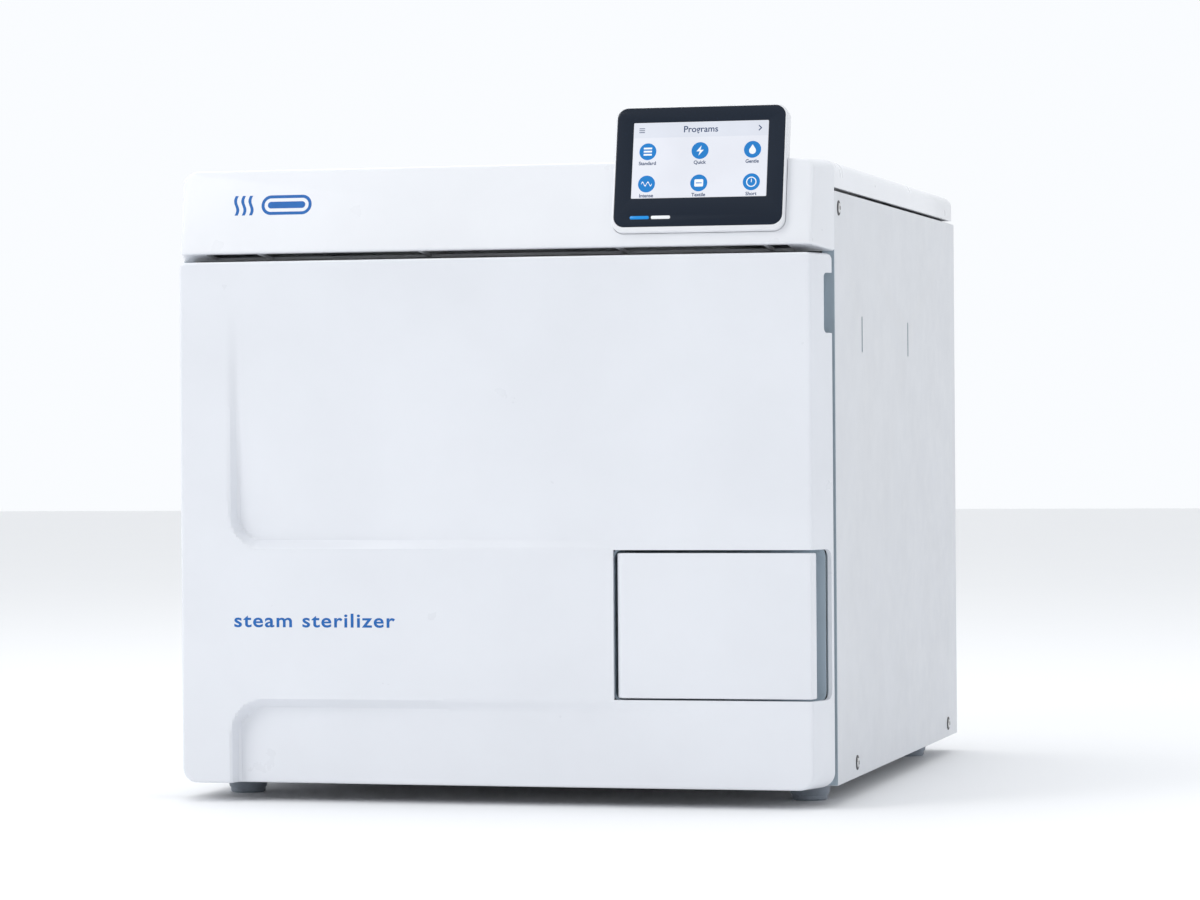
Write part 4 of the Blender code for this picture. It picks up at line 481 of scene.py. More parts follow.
def round_corner(x, z, half, low, high, low_radius, high_radius):
    """Moves a point of a rectangle so that the rectangle's corners become round."""
    for centre_z, radius, way in ((low + low_radius, low_radius, -1), (high - high_radius, high_radius, 1)):
        side = 1 if x > 0 else -1
        centre_x = side * (half - radius)
        u = (x - centre_x) * side / radius
        v = (z - centre_z) * way / radius
        if u > 0 and v > 0:
            return (
                centre_x + side * radius * u * math.sqrt(1 - v * v / 2),
                centre_z + way * radius * v * math.sqrt(1 - u * u / 2),
            )
    return x, z


def door_point(x, depth, z):
    flare = 1 + DOOR_FLARE / DOOR_HALF * depth / DOOR_DEPTH
    return Vector((x * flare, FRONT + depth, z))


def door_grid(bm, inset, step, extra):
    """The door's face, moved in from its outline and back by a wall."""
    half = DOOR_HALF - inset
    low = DOOR_LO.z + inset
    high = DOOR_HI.z - inset
    columns = round(2 * half / step)
    rows = round((high - low) / step)
    grid = []
    for row in range(rows + 1):
        line = []
        for column in range(columns + 1):
            x = -half + 2 * half * column / columns
            z = low + (high - low) * row / rows
            x, z = round_corner(x, z, half, low, high, 0.0125 - inset, 0.0045 - inset)
            line.append(bm.verts.new(door_point(x, recess(x, z) + extra, z)))
        grid.append(line)
    for first, second in zip(grid, grid[1:]):
        for a, b, c, d in zip(first, first[1:], second[1:], second):
            bm.faces.new((a, b, c, d))
    return grid


def rim_of(grid):
    """The boundary of a grid, in order."""
    rim = list(grid[0])
    rim += [line[-1] for line in grid[1:]]
    rim += list(reversed(grid[-1][:-1]))
    rim += [line[0] for line in reversed(grid[1:-1])]
    return rim


def outward(places):
    """The direction away from the outline at each of its points."""
    found = []
    count = len(places)
    for number in range(count):
        before = places[number - 1]
        after = places[(number + 1) % count]
        along = Vector((after[0] - before[0], after[2] - before[2])).normalized()
        found.append((along.y, -along.x))
    return found


def bridge(bm, first, second):
    count = len(first)
    for number in range(count):
        after = (number + 1) % count
        bm.faces.new((first[number], first[after], second[after], second[number]))


def build_door_cover():
    bm = bmesh.new()
    outer = rim_of(door_grid(bm, DOOR_EDGE, 0.0024, 0.0))
    flat = [(vert.co.x, vert.co.y - FRONT, vert.co.z) for vert in outer]
    flat = [(x / (1 + DOOR_FLARE / DOOR_HALF * depth / DOOR_DEPTH), depth, z) for x, depth, z in flat]
    ways = outward(flat)
    last = outer
    rings = []
    for step in range(1, 6):
        angle = math.radians(18 * step)
        rings.append((DOOR_EDGE * math.sin(angle), DOOR_EDGE * (1 - math.cos(angle)), True))
    rear_edge = 0.0006
    rings += [(DOOR_EDGE, DOOR_DEPTH - rear_edge, False), (DOOR_EDGE - rear_edge, DOOR_DEPTH, False)]
    rings += [(DOOR_EDGE - DOOR_WALL, DOOR_DEPTH, False)]
    for out, depth, follows_face in rings:
        ring = []
        for (x, base, z), (way_x, way_z) in zip(flat, ways):
            back = base + depth if follows_face else depth
            ring.append(bm.verts.new(door_point(x + way_x * out, back, z + way_z * out)))
        bridge(bm, last, ring)
        last = ring
    inner = []
    for (x, base, z), (way_x, way_z) in zip(flat, ways):
        out = DOOR_EDGE - DOOR_WALL
        inner.append(bm.verts.new(door_point(x + way_x * out, base + DOOR_WALL, z + way_z * out)))
    bridge(bm, last, inner)
    back_grid = rim_of(door_grid(bm, DOOR_EDGE, 0.0024, DOOR_WALL))
    for old, new in zip(back_grid, inner):
        old.co = new.co
    bmesh.ops.remove_doubles(bm, verts=back_grid + inner, dist=0.000001)
    cover = show("door_cover_skin", mesh_of("door_cover_skin", bm), DOOR_WHITE, "door", ["door_cover"])
    cut(cover, grip_pocket(), notch_cutter(), hinge_cutter())
    soften(cover.data, 28)


def grip_pocket():
    lo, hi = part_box("grip_recess")
    wall = 0.002
    bm = bmesh.new()
    add_box(bm, (lo.x + wall, FRONT - 0.02, lo.z + wall), (HIGH.x + 0.02, hi.y + 0.0003, hi.z - wall))
    back = [
        edge
        for edge in bm.edges
        if all(vert.co.y > FRONT for vert in edge.verts) and abs(edge.verts[0].co.x - edge.verts[1].co.x) > 0.01
    ]
    bmesh.ops.bevel(bm, geom=back, offset=0.007, segments=8, affect="EDGES", profile=0.5)
    return cutter("grip_pocket", mesh_of("grip_pocket", bm))


NOTCH_DEPTH = 0.013


def notch_cutter():
    lo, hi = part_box("power_switch_frame")
    reach = 0.002
    bm = bmesh.new()
    start = DOOR_HI.y - NOTCH_DEPTH
    add_box(bm, (HALF - 0.015, start, lo.z - reach), (HIGH.x + 0.02, DOOR_HI.y + 0.01, hi.z + reach))
    inner = [
        edge
        for edge in bm.edges
        if all(abs(vert.co.y - start) < 0.001 for vert in edge.verts)
        and abs(edge.verts[0].co.x - edge.verts[1].co.x) > 0.01
    ]
    bmesh.ops.bevel(bm, geom=inner, offset=0.004, segments=6, affect="EDGES", profile=0.5)
    return cutter("notch", mesh_of("notch", bm))


def hinge_cutter():
    lo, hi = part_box("hinge_bracket")
    bm = bmesh.new()
    add_box(bm, (LOW.x - 0.02, FRONT + 0.0075, lo.z - 0.004), (lo.x - 0.0005, DOOR_HI.y + 0.01, hi.z + 0.004))
    return cutter("hinge_slot", mesh_of("hinge_slot", bm))


# Header cover


def build_header_cover():
    bm = bmesh.new()
    verts = add_box(bm, (-HALF, HEADER_LO.y, HEADER_LO.z + HEADER_DROP), (HALF, HEADER_HI.y, HEADER_HI.z))
    middle_y = (HEADER_LO.y + HEADER_HI.y) / 2
    middle_z = (HEADER_LO.z + HEADER_HI.z) / 2
    for vert in verts:
        at_top = vert.co.z > middle_z
        if vert.co.y < middle_y:
            vert.co.x *= DOOR_HALF / HALF
            vert.co.y += HEADER_LEAN if at_top else 0.0
        elif not at_top:
            vert.co.z -= HEADER_DROP
    rear = [face for face in bm.faces if all(vert.co.y > middle_y for vert in face.verts)]
    bmesh.ops.delete(bm, geom=rear, context="FACES_ONLY")

    def runs_back(edge):
        return abs(edge.verts[0].co.y - edge.verts[1].co.y) > 0.02

    def is_top(edge):
        return all(vert.co.z > middle_z for vert in edge.verts)

    top_sides = [edge for edge in bm.edges if runs_back(edge) and is_top(edge)]
    bmesh.ops.bevel(bm, geom=top_sides, offset=0.010, segments=10, affect="EDGES", profile=0.5)
    sharp = [
        edge
        for edge in bm.edges
        if len(edge.link_faces) == 2
        and edge.calc_face_angle() > math.radians(25)
    ]
    bmesh.ops.bevel(bm, geom=sharp, offset=0.0022, segments=5, affect="EDGES", profile=0.5)
    bmesh.ops.recalc_face_normals(bm, faces=bm.faces)
    mesh = bpy.data.meshes.new("header_skin")
    bm.to_mesh(mesh)
    bm.free()
    header = show("header_skin", mesh, HEADER_WHITE, "casing", ["header_cover"])
    thicken(header, 0.0022)
    cut(header, header_vents(), display_pocket(), header_trim())
    soften(header.data, 30)


def header_trim():
    bm = bmesh.new()
    add_box(bm, (-0.4, HEADER_HI.y, 0.3), (0.4, HEADER_HI.y + 0.05, 0.7))
    return cutter("header_trim", mesh_of("header_trim", bm))


VENT_SHARES = (-0.36, -0.11, 0.19, 0.41)


def header_vents():
    edges = [-HALF + 0.030] + [share * 2 * HALF for share in VENT_SHARES] + [HALF - 0.030]
    bm = bmesh.new()
    low = HEADER_LO.z + HEADER_DROP
    for left, right in zip(edges, edges[1:]):
        add_box(
            bm,
            (left + 0.0015, HEADER_LO.y + 0.006, low - 0.02),
            (right - 0.0015, HEADER_HI.y - 0.0037, low + 0.010),
        )
    return cutter("header_vents", mesh_of("header_vents", bm))


# Display: its own frame has x as in the world, y behind the header's face and z up the face

TILT = math.atan2(HEADER_LEAN, HEADER_HI.z - HEADER_LO.z - HEADER_DROP)
DISPLAY_LO, DISPLAY_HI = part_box("display_housing")
GLASS_LO, GLASS_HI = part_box("display_glass")
SCREEN_LO, SCREEN_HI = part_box("display_screen")
DISPLAY_PROUD = 0.005
DISPLAY_RISE = 0.0105
DISPLAY_WIDTH = DISPLAY_HI.x - DISPLAY_LO.x
DISPLAY_HEIGHT = 0.104
DISPLAY_THICKNESS = 0.014
GLASS_CHIN = 0.0042
GLASS_WIDTH = GLASS_HI.x - GLASS_LO.x
GLASS_HEIGHT = DISPLAY_HEIGHT - GLASS_CHIN - 0.0013
SCREEN_WIDTH = SCREEN_HI.x - SCREEN_LO.x
SCREEN_HEIGHT = 0.0625
SCREEN_LOW = GLASS_CHIN + 0.0237
LEANING = (
    Matrix.Translation(
        (
            0,
            HEADER_LO.y + DISPLAY_RISE * math.sin(TILT),
            HEADER_LO.z + HEADER_DROP + DISPLAY_RISE * math.cos(TILT),
        )
    )
    @ Matrix.Rotation(-TILT, 4, "X")
)


def plate(name, loops, front, thickness, edge=0.0, segments=4):
    """A flat plate in the display's frame from outlines, with a rounded front edge."""
    curve = bpy.data.curves.new(name, "CURVE")
    curve.dimensions = "2D"
    curve.fill_mode = "BOTH"
    curve.extrude = thickness / 2
    for loop in loops:
        spline = curve.splines.new("POLY")
        spline.points.add(len(loop) - 1)
        for point, (x, y) in zip(spline.points, loop):
            point.co = (x, y, 0.0, 1.0)
        spline.use_cyclic_u = True
    shape = bpy.data.objects.new(name, curve)
    bpy.context.scene.collection.objects.link(shape)
    bpy.context.view_layer.update()
    graph = bpy.context.evaluated_depsgraph_get()
    flat = bpy.data.meshes.new_from_object(shape.evaluated_get(graph))
    bpy.data.objects.remove(shape)
    bm = bmesh.new()
    bm.from_mesh(flat)
    bpy.data.meshes.remove(flat)
    bmesh.ops.remove_doubles(bm, verts=bm.verts, dist=0.000002)
    bmesh.ops.recalc_face_normals(bm, faces=bm.faces)
    bmesh.ops.dissolve_limit(bm, angle_limit=math.radians(0.5), verts=bm.verts[:], edges=bm.edges[:])
    if edge:
        rims = [
            item
            for item in bm.edges
            if len(item.link_faces) == 2 and item.calc_face_angle() > math.radians(60)
        ]
        rims = [item for item in rims if abs(item.verts[0].co.z - item.verts[1].co.z) < 0.00001]
        bmesh.ops.bevel(bm, geom=rims, offset=edge, segments=segments, affect="EDGES", profile=0.5)
    bm.transform(
        LEANING @ Matrix.Translation((0, front + thickness / 2, 0)) @ Matrix.Rotation(math.radians(90), 4, "X")
    )
    return soften(mesh_of(name, bm), 30)


def display_pocket():
    gap = 0.0004
    back = DISPLAY_THICKNESS - DISPLAY_PROUD + 0.0003
    outline = rounded_rectangle(
        DISPLAY_LO.x - gap, -gap, DISPLAY_WIDTH + 2 * gap, DISPLAY_HEIGHT + 0.03, 0.0099, 12
    )
    return cutter("display_pocket", plate("display_pocket", [outline], -0.02, 0.02 + back))


def build_display():
    housing = show(
        "display_housing_skin",
        plate(
            "display_housing_skin",
            [rounded_rectangle(DISPLAY_LO.x, 0, DISPLAY_WIDTH, DISPLAY_HEIGHT, 0.0095, 12)],
            -DISPLAY_PROUD,
            DISPLAY_THICKNESS,
            0.0012,
        ),
        HOUSING_WHITE,
        "casing",
        ["display_housing"],
    )
    seat = rounded_rectangle(
        GLASS_LO.x - 0.0002, GLASS_CHIN - 0.0002, GLASS_WIDTH + 0.0004, GLASS_HEIGHT + 0.0004, 0.0088, 12
    )
    cut(housing, cutter("glass_seat", plate("glass_seat", [seat], -DISPLAY_PROUD - 0.005, 0.0073)))
    soften(housing.data, 30)
    outline = rounded_rectangle(GLASS_LO.x, GLASS_CHIN, GLASS_WIDTH, GLASS_HEIGHT, 0.0086, 12)
    window = rounded_rectangle(
        SCREEN_LO.x - 0.0002, SCREEN_LOW - 0.0002, SCREEN_WIDTH + 0.0004, SCREEN_HEIGHT + 0.0004, 0.0006, 2
    )
    holes = [window]
    for word in ("left", "right"):
        lo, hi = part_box(f"status_light_{word}")
        holes.append(rounded_rectangle(lo.x - 0.0002, LIGHT_LOW - 0.0002, hi.x - lo.x + 0.0004, 0.0029, 0.0011, 4))
    show(
        "display_glass_skin",
        plate("display_glass_skin", [outline] + holes, -DISPLAY_PROUD, 0.002, 0.0004, 3),
        GLASS,
        "casing",
        ["display_glass"],
    )
    for word, finish in (("left", LIGHT_BLUE), ("right", LIGHT_WHITE)):
        lo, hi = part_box(f"status_light_{word}")
        bar = rounded_rectangle(lo.x, LIGHT_LOW, hi.x - lo.x, 0.0025, 0.0011, 6)
        show(
            f"status_light_{word}_lens",
            plate(f"status_light_{word}_lens", [bar], 0.00012 - DISPLAY_PROUD, 0.0018, 0.0002, 2),
            finish,
            "casing",
            [f"status_light_{word}"],
        )
    build_screen()


LIGHT_LOW = GLASS_CHIN + 0.0065
LAYER = 0.00003  # steps of the picture's flat layers


def on_screen(name, loops, layer, finish):
    front = 0.00014 - DISPLAY_PROUD - layer * LAYER
    show(name, plate(name, loops, front, 0.00003), finish, "casing")


def words(name, text, height, centre, layer, finish, middle=True):
    """Text as a thin mesh on the screen. The centre is (x, height up the face)."""
    curve = bpy.data.curves.new(name, "FONT")
    curve.body = text
    curve.size = height
    curve.align_x = "CENTER" if middle else "LEFT"
    curve.align_y = "CENTER"
    curve.extrude = 0.00001
    curve.offset = 0.00009
    shape = bpy.data.objects.new(name + "_curve", curve)
    bpy.context.scene.collection.objects.link(shape)
    bpy.context.view_layer.update()
    graph = bpy.context.evaluated_depsgraph_get()
    mesh = bpy.data.meshes.new_from_object(shape.evaluated_get(graph))
    bpy.data.objects.remove(shape)
    front = 0.00014 - DISPLAY_PROUD - layer * LAYER
    x, z = centre
    mesh.transform(LEANING @ Matrix.Translation((x, front, z)) @ Matrix.Rotation(math.radians(90), 4, "X"))
    return show(name, mesh, finish, "casing")


def disc(centre, radius, steps=32):
    return arc(centre, radius, 0, 360 - 360 / steps, steps - 1)


def bar_loop(left, low, width, height, radius=0.0002):
    return rounded_rectangle(left, low, width, height, radius, 3)


def build_screen():
    panel = rounded_rectangle(SCREEN_LO.x, SCREEN_LOW, SCREEN_WIDTH, SCREEN_HEIGHT, 0.0005, 2)
    show(
        "screen_panel",
        plate("screen_panel", [panel], 0.00015 - DISPLAY_PROUD, 0.0017),
        SCREEN_LIT,
        "casing",
        ["display_screen"],
    )
    top = SCREEN_LOW + SCREEN_HEIGHT
    title_height = 0.0125
    bar = [bar_loop(SCREEN_LO.x + 0.0004, top - title_height, SCREEN_WIDTH - 0.0008, title_height - 0.0004)]
    on_screen("screen_title_bar", bar, 1, SCREEN_BAR)
    middle = (SCREEN_LO.x + SCREEN_HI.x) / 2
    title_z = top - title_height / 2
    words("screen_title", "Programs", 0.0074, (middle, title_z), 2, SCREEN_INK)
    menu_left = SCREEN_LO.x + 0.0045
    lines = [bar_loop(menu_left, title_z - 0.0004 + 0.0016 * step, 0.0046, 0.0006) for step in (-1, 0, 1)]
    on_screen("screen_menu", lines, 2, SCREEN_INK)
    tip = SCREEN_HI.x - 0.0050
    half = 0.0024
    chevron = [
        (tip - half, title_z + half),
        (tip - half - 0.0006, title_z + half - 0.0006),
        (tip - 0.0012, title_z),
        (tip - half - 0.0006, title_z - half + 0.0006),
        (tip - half, title_z - half),
        (tip, title_z),
    ]
    on_screen("screen_next", [chevron], 2, SCREEN_INK)
    names = ("Standard", "Quick", "Gentle", "Intense", "Textile", "Short")
    pitch = SCREEN_WIDTH * 0.389
    for number, name in enumerate(names):
        column = number % 3 - 1
        row = number // 3
        x = middle + column * pitch
        z = top - title_height - 0.0115 - row * 0.0268
        build_icon(number, name, x, z)


ICON_RADIUS = 0.0070


def build_icon(number, name, x, z):
    on_screen(f"icon_{number}_disc", [disc((x, z), ICON_RADIUS)], 1, ICON_BLUE)
    on_screen(f"icon_{number}_glyph", glyph(number, x, z), 2, ICON_WHITE)
    words(f"icon_{number}_label", name, 0.0040, (x, z - ICON_RADIUS - 0.0028), 1, SCREEN_INK)


def glyph(number, x, z):
    """A simple white sign for each programme."""
    if number == 0:
        return [bar_loop(x - 0.0034, z - 0.0032 + 0.0026 * step, 0.0068, 0.0014) for step in range(3)]
    if number == 1:
        return [
            [(x + 0.0012, z + 0.0042), (x - 0.0030, z - 0.0006), (x - 0.0002, z - 0.0006)]
            + [(x - 0.0012, z - 0.0042), (x + 0.0030, z + 0.0006), (x + 0.0002, z + 0.0006)]
        ]
    if number == 2:
        drop = arc((x, z - 0.0010), 0.0028, 150, 390, 16)
        return [drop + [(x, z + 0.0042)]]
    if number == 3:
        upper = []
        for step in range(17):
            share = step / 16
            upper.append((x - 0.0044 + 0.0088 * share, z + 0.0016 * math.sin(share * 4 * math.pi) + 0.0005))
        lower = [(px, pz - 0.0010) for px, pz in reversed(upper)]
        return [upper + lower]
    if number == 4:
        return [rounded_rectangle(x - 0.0036, z - 0.0030, 0.0072, 0.0060, 0.0008, 3)] + [
            bar_loop(x - 0.0024, z - 0.0004, 0.0048, 0.0008)
        ]
    ring = [disc((x, z), 0.0042), disc((x, z), 0.0034)]
    hands = [bar_loop(x - 0.0003, z - 0.0003, 0.0006, 0.0028, 0.0001)]
    return ring + hands


# Casing


def build_top_cover():
    bm = bmesh.new()
    add_box(bm, TOP_LO, TOP_HI)
    bottom = [face for face in bm.faces if face.calc_center_median().z < TOP_LO.z + 0.001]
    bmesh.ops.delete(bm, geom=bottom, context="FACES_ONLY")
    crown = [
        edge
        for edge in bm.edges
        if all(vert.co.z > TOP_HI.z - 0.001 for vert in edge.verts)
        and (abs(edge.verts[0].co.x - edge.verts[1].co.x) < HALF or edge.verts[0].co.y > 0)
    ]
    bmesh.ops.bevel(bm, geom=crown, offset=0.0095, segments=10, affect="EDGES", profile=0.5)
    sharp = [
        edge
        for edge in bm.edges
        if len(edge.link_faces) == 2 and edge.calc_face_angle() > math.radians(25)
    ]
    bmesh.ops.bevel(bm, geom=sharp, offset=0.0012, segments=4, affect="EDGES", profile=0.5)
    bmesh.ops.recalc_face_normals(bm, faces=bm.faces)
    mesh = bpy.data.meshes.new("top_cover_skin")
    bm.to_mesh(mesh)
    bm.free()
    cover = show("top_cover_skin", mesh, HEADER_WHITE, "top_cover", ["top_cover"])
    thicken(cover, 0.003)
    finished(cover)
    soften(cover.data, 30)


def build_side_panel(side, word):
    lo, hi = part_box(f"side_panel_{word}")
    inner = lo.x if side > 0 else hi.x
    bm = bmesh.new()
    add_box(bm, lo, hi)
    open_side = [face for face in bm.faces if abs(face.calc_center_median().x - inner) < 0.001]
    bmesh.ops.delete(bm, geom=open_side, context="FACES_ONLY")
    bends = [edge for edge in bm.edges if len(edge.link_faces) == 2]
    bmesh.ops.bevel(bm, geom=bends, offset=0.0010, segments=4, affect="EDGES", profile=0.5)
    bmesh.ops.recalc_face_normals(bm, faces=bm.faces)
    mesh = bpy.data.meshes.new(f"side_skin_{word}")
    bm.to_mesh(mesh)
    bm.free()
    panel = show(f"side_skin_{word}", mesh, SIDE_GREY, "casing", [f"side_panel_{word}"])
    thicken(panel, 0.0015)
    cut(panel, side_slots(side, lo, hi))
    soften(panel.data, 30)
    # Faces of the side skin that look forward take the dark recess grey: painted shade for the gap between door and
    # casing, also seen through the door's notch.
    panel.data.materials.append(RECESS_GREY_AND_GAP_SHADE)
    for face in panel.data.polygons:
        if face.normal.y < -0.8:
            face.material_index = 1


SLOT_PLACES = (0.120, 0.343)  # behind the side panel's front edge
SLOT_RADIUS = 0.0020


def side_slots(side, lo, hi):
    top = hi.z - 0.0975
    bm = bmesh.new()
    for place in SLOT_PLACES:
        y = lo.y + place
        outline = rounded_rectangle(y - SLOT_RADIUS, top - 0.031, 2 * SLOT_RADIUS, 0.031, SLOT_RADIUS * 0.99, 6)
        x = side * HALF
        front = [bm.verts.new((x - 0.006, u, v)) for u, v in outline]
        face = bm.faces.new(front)
        moved = bmesh.ops.extrude_face_region(bm, geom=[face])["geom"]
        bmesh.ops.translate(bm, vec=(0.012, 0, 0), verts=[v for v in moved if isinstance(v, bmesh.types.BMVert)])
    return cutter("side_slots", mesh_of("side_slots", bm))


def build_side_screw(side, word, number):
    """A domed head with a hexagon socket, and a dark ring under it, painted shade along the head's rim."""
    node = f"side_screw_{word}_{number}"
    lo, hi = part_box(node)
    centre = (lo + hi) / 2
    radius = (hi.y - lo.y) / 2
    dome = hi.x - lo.x
    top = dome * 0.98
    socket = radius * 0.42
    profile = [(0.0, top * 0.35), (socket, top * 0.45), (socket, top * 0.93)]
    for step in range(2, 9):
        angle = math.radians(90 * step / 8)
        profile.append((radius * math.sin(angle) * 0.97, top * max(math.cos(angle), 0.12)))
    profile += [(radius * 0.97, 0.0), (0.0, 0.0)]
    base = side * HALF
    mesh = turned(f"screw_head_{word}_{number}", profile, (0, 0, 0), "X", 36)
    if side < 0:
        mesh.transform(Matrix.Rotation(math.pi, 4, "Z"))
    mesh.transform(Matrix.Translation((base, centre.y, centre.z)))
    show(f"screw_head_{word}_{number}", mesh, STEEL_UPRIGHT, "casing", [node])
    # The dark ring round the head is painted shade, drawn as a thin ring of black plastic.
    ring = [(radius * 0.98, 0.0009), (radius * 1.30, 0.0006), (radius * 1.34, 0.0), (radius * 0.98, 0.0)]
    shade_ring = turned(f"screw_shade_ring_{word}_{number}", ring, (0, 0, 0), "X", 36)
    if side < 0:
        shade_ring.transform(Matrix.Rotation(math.pi, 4, "Z"))
    shade_ring.transform(Matrix.Translation((base, centre.y, centre.z)))
    show(f"screw_shade_ring_{word}_{number}", shade_ring, BLACK_PLASTIC_AND_SHADE, "casing")


def build_foot(place):
    node = f"foot_{place}"
    lo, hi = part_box(node)
    centre = (lo + hi) / 2
    height = hi.z
    top = (hi.x - lo.x) / 2
    low = top * 0.85
    profile = [
        (0.0, height),
        (top - 0.0006, height),
        (top, height - 0.0006),
        (top * 0.985, height * 0.72),
        (low + 0.0012, height * 0.30),
        (low, height * 0.22),
        (low, 0.0012),
        (low - 0.0012, 0.0),
        (low * 0.55, 0.0),
        (low * 0.50, 0.0010),
        (0.0, 0.0010),
    ]
    mesh = turned(f"{node}_rubber", profile, (centre.x, centre.y, 0.0), "Z", 48)
    show(f"{node}_rubber", mesh, FOOT_RUBBER, "casing", [node])


# Closing grip


def build_closing_grip():
    """The slab keeps the CAD node's outline; its bosses sit behind it."""
    thickness = 0.009
    bm = bmesh.new()
    add_box(bm, (GRIP_LO.x, FRONT, GRIP_LO.z), (GRIP_HI.x, FRONT + thickness, GRIP_HI.z))
    for vert in bm.verts:
        if vert.co.x > GRIP_LO.x + 0.05:
            share = (vert.co.y - FRONT) / DOOR_DEPTH
            vert.co.x = DOOR_HALF + DOOR_FLARE * share - 0.0010
    tall = (GRIP_HI.z - GRIP_LO.z) / 2
    heel = [
        edge
        for edge in bm.edges
        if all(vert.co.x < GRIP_LO.x + 0.01 and vert.co.y > FRONT + thickness - 0.001 for vert in edge.verts)
        and abs(edge.verts[0].co.z - edge.verts[1].co.z) > tall
    ]
    bmesh.ops.bevel(bm, geom=heel, offset=0.0026, segments=4, affect="EDGES", profile=0.5)
    left = [
        edge
        for edge in bm.edges
        if all(vert.co.x < GRIP_LO.x + 0.01 and vert.co.y < FRONT + 0.001 for vert in edge.verts)
        and abs(edge.verts[0].co.z - edge.verts[1].co.z) > tall
    ]
    bmesh.ops.bevel(bm, geom=left, offset=0.006, segments=10, affect="EDGES", profile=0.5)
    sharp = [edge for edge in bm.edges if edge.calc_face_angle() > math.radians(30)]
    bmesh.ops.bevel(bm, geom=sharp, offset=0.0013, segments=4, affect="EDGES", profile=0.5)
    slab = show("closing_grip_slab", soften(mesh_of("closing_grip_slab", bm), 30), DOOR_WHITE, "grip")
    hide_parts("closing_grip")
    pin_lo, pin_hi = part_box("grip_pin")
    spring_lo, spring_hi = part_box("grip_spring")
    axis_x = (pin_lo.x + pin_hi.x) / 2
    axis_y = (pin_lo.y + pin_hi.y) / 2
    room = 0.001
    for word, low, high in (
        ("lower", GRIP_LO.z + 0.004, spring_lo.z - room),
        ("upper", spring_hi.z + room, GRIP_HI.z - 0.004),
    ):
        boss = rounded_box(
            f"grip_boss_{word}",
            (axis_x - 0.006, FRONT + thickness - 0.0005, low),
            (axis_x + 0.006, axis_y + 0.0045, high),
            0.0008,
        )
        show(f"grip_boss_{word}", boss, DOOR_WHITE, "grip")


def build_grip_recess():
    lo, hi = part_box("grip_recess")
    wall = 0.002
    bm = bmesh.new()
    add_box(bm, lo, hi)
    gone = [
        face
        for face in bm.faces
        if face.calc_center_median().y < lo.y + 0.001 or face.calc_center_median().x > hi.x - 0.001
    ]
    bmesh.ops.delete(bm, geom=gone, context="FACES_ONLY")
    corners = [edge for edge in bm.edges if len(edge.link_faces) == 2]
    bmesh.ops.bevel(bm, geom=corners, offset=0.0088, segments=8, affect="EDGES", profile=0.5)
    for vert in bm.verts:
        if vert.co.x > hi.x - 0.001:
            vert.co.x = DOOR_HALF + DOOR_FLARE * (vert.co.y - FRONT) / DOOR_DEPTH - DOOR_WALL - 0.0016
    bmesh.ops.recalc_face_normals(bm, faces=bm.faces)
    mesh = bpy.data.meshes.new("grip_recess_tub")
    bm.to_mesh(mesh)
    bm.free()
    tub = show("grip_recess_tub", mesh, RECESS_GREY_AND_GAP_SHADE, "door", ["grip_recess"])
    thicken(tub, wall)
    finished(tub)
    soften(tub.data, 30)


# Printed marks, generic

WORD_STRETCH = 1.22


def print_on_door(name, text, left, low, height):
    """A thin printed word that follows the door's face."""
    curve = bpy.data.curves.new(name, "FONT")
    curve.body = text
    curve.size = height
    curve.space_character = 1.12
    curve.extrude = 0.00003
    curve.offset = 0.00028
    curve.resolution_u = 5
    shape = bpy.data.objects.new(name + "_curve", curve)
    bpy.context.scene.collection.objects.link(shape)
    bpy.context.view_layer.update()
    graph = bpy.context.evaluated_depsgraph_get()
    mesh = bpy.data.meshes.new_from_object(shape.evaluated_get(graph))
    bpy.data.objects.remove(shape)
    for vert in mesh.vertices:
        x, z = left + vert.co.x * WORD_STRETCH, low + vert.co.y
        vert.co = door_point(x, recess(x, z) - 0.00004 - vert.co.z, z)
    show(name, mesh, BLUE_INK, "door")


def header_point(x, up, out=0.0):
    """A place on the header's leaning face: up counts from its lower edge along the face."""
    y = HEADER_LO.y + up * math.sin(TILT) - out * math.cos(TILT)
    z = HEADER_LO.z + HEADER_DROP + up * math.cos(TILT) + out * math.sin(TILT)
    return Vector((x, y, z))


def build_header_mark():
    """Three rising waves of steam beside a rounded bar."""
    low = 0.0321
    tall = 0.0166
    stroke = 0.0026
    loops = []
    for number in range(3):
        x0 = -0.2175 + number * 0.0062
        right = []
        for step in range(17):
            share = step / 16
            sway = 0.0012 * math.sin(share * 2 * math.pi)
            right.append((x0 + sway + stroke / 2, low + tall * share))
        left = [(x - stroke, z) for x, z in reversed(right)]
        loops.append(right + left)
    left, width = -0.1960, 0.0430
    for inset in (0.0, stroke):
        radius = tall / 2 - inset - 0.0001
        loops.append(
            rounded_rectangle(left + inset, low + inset, width - 2 * inset, tall - 2 * inset, radius, 10)
        )
    inset = 2.1 * stroke
    loops.append(
        rounded_rectangle(left + inset, low + inset, width - 2 * inset, tall - 2 * inset, tall / 2 - inset - 0.0001, 6)
    )
    mesh = plate("header_mark", loops, 0.0, 0.00006)
    shift = DISPLAY_RISE
    back = Matrix.Translation(header_point(0, 0) - header_point(0, shift)) @ Matrix.Translation(
        header_point(0, 0, 0.00005) - header_point(0, 0)
    )
    mesh.transform(back)
    show("header_mark", mesh, BLUE_INK, "casing")


# Chamber and door plate


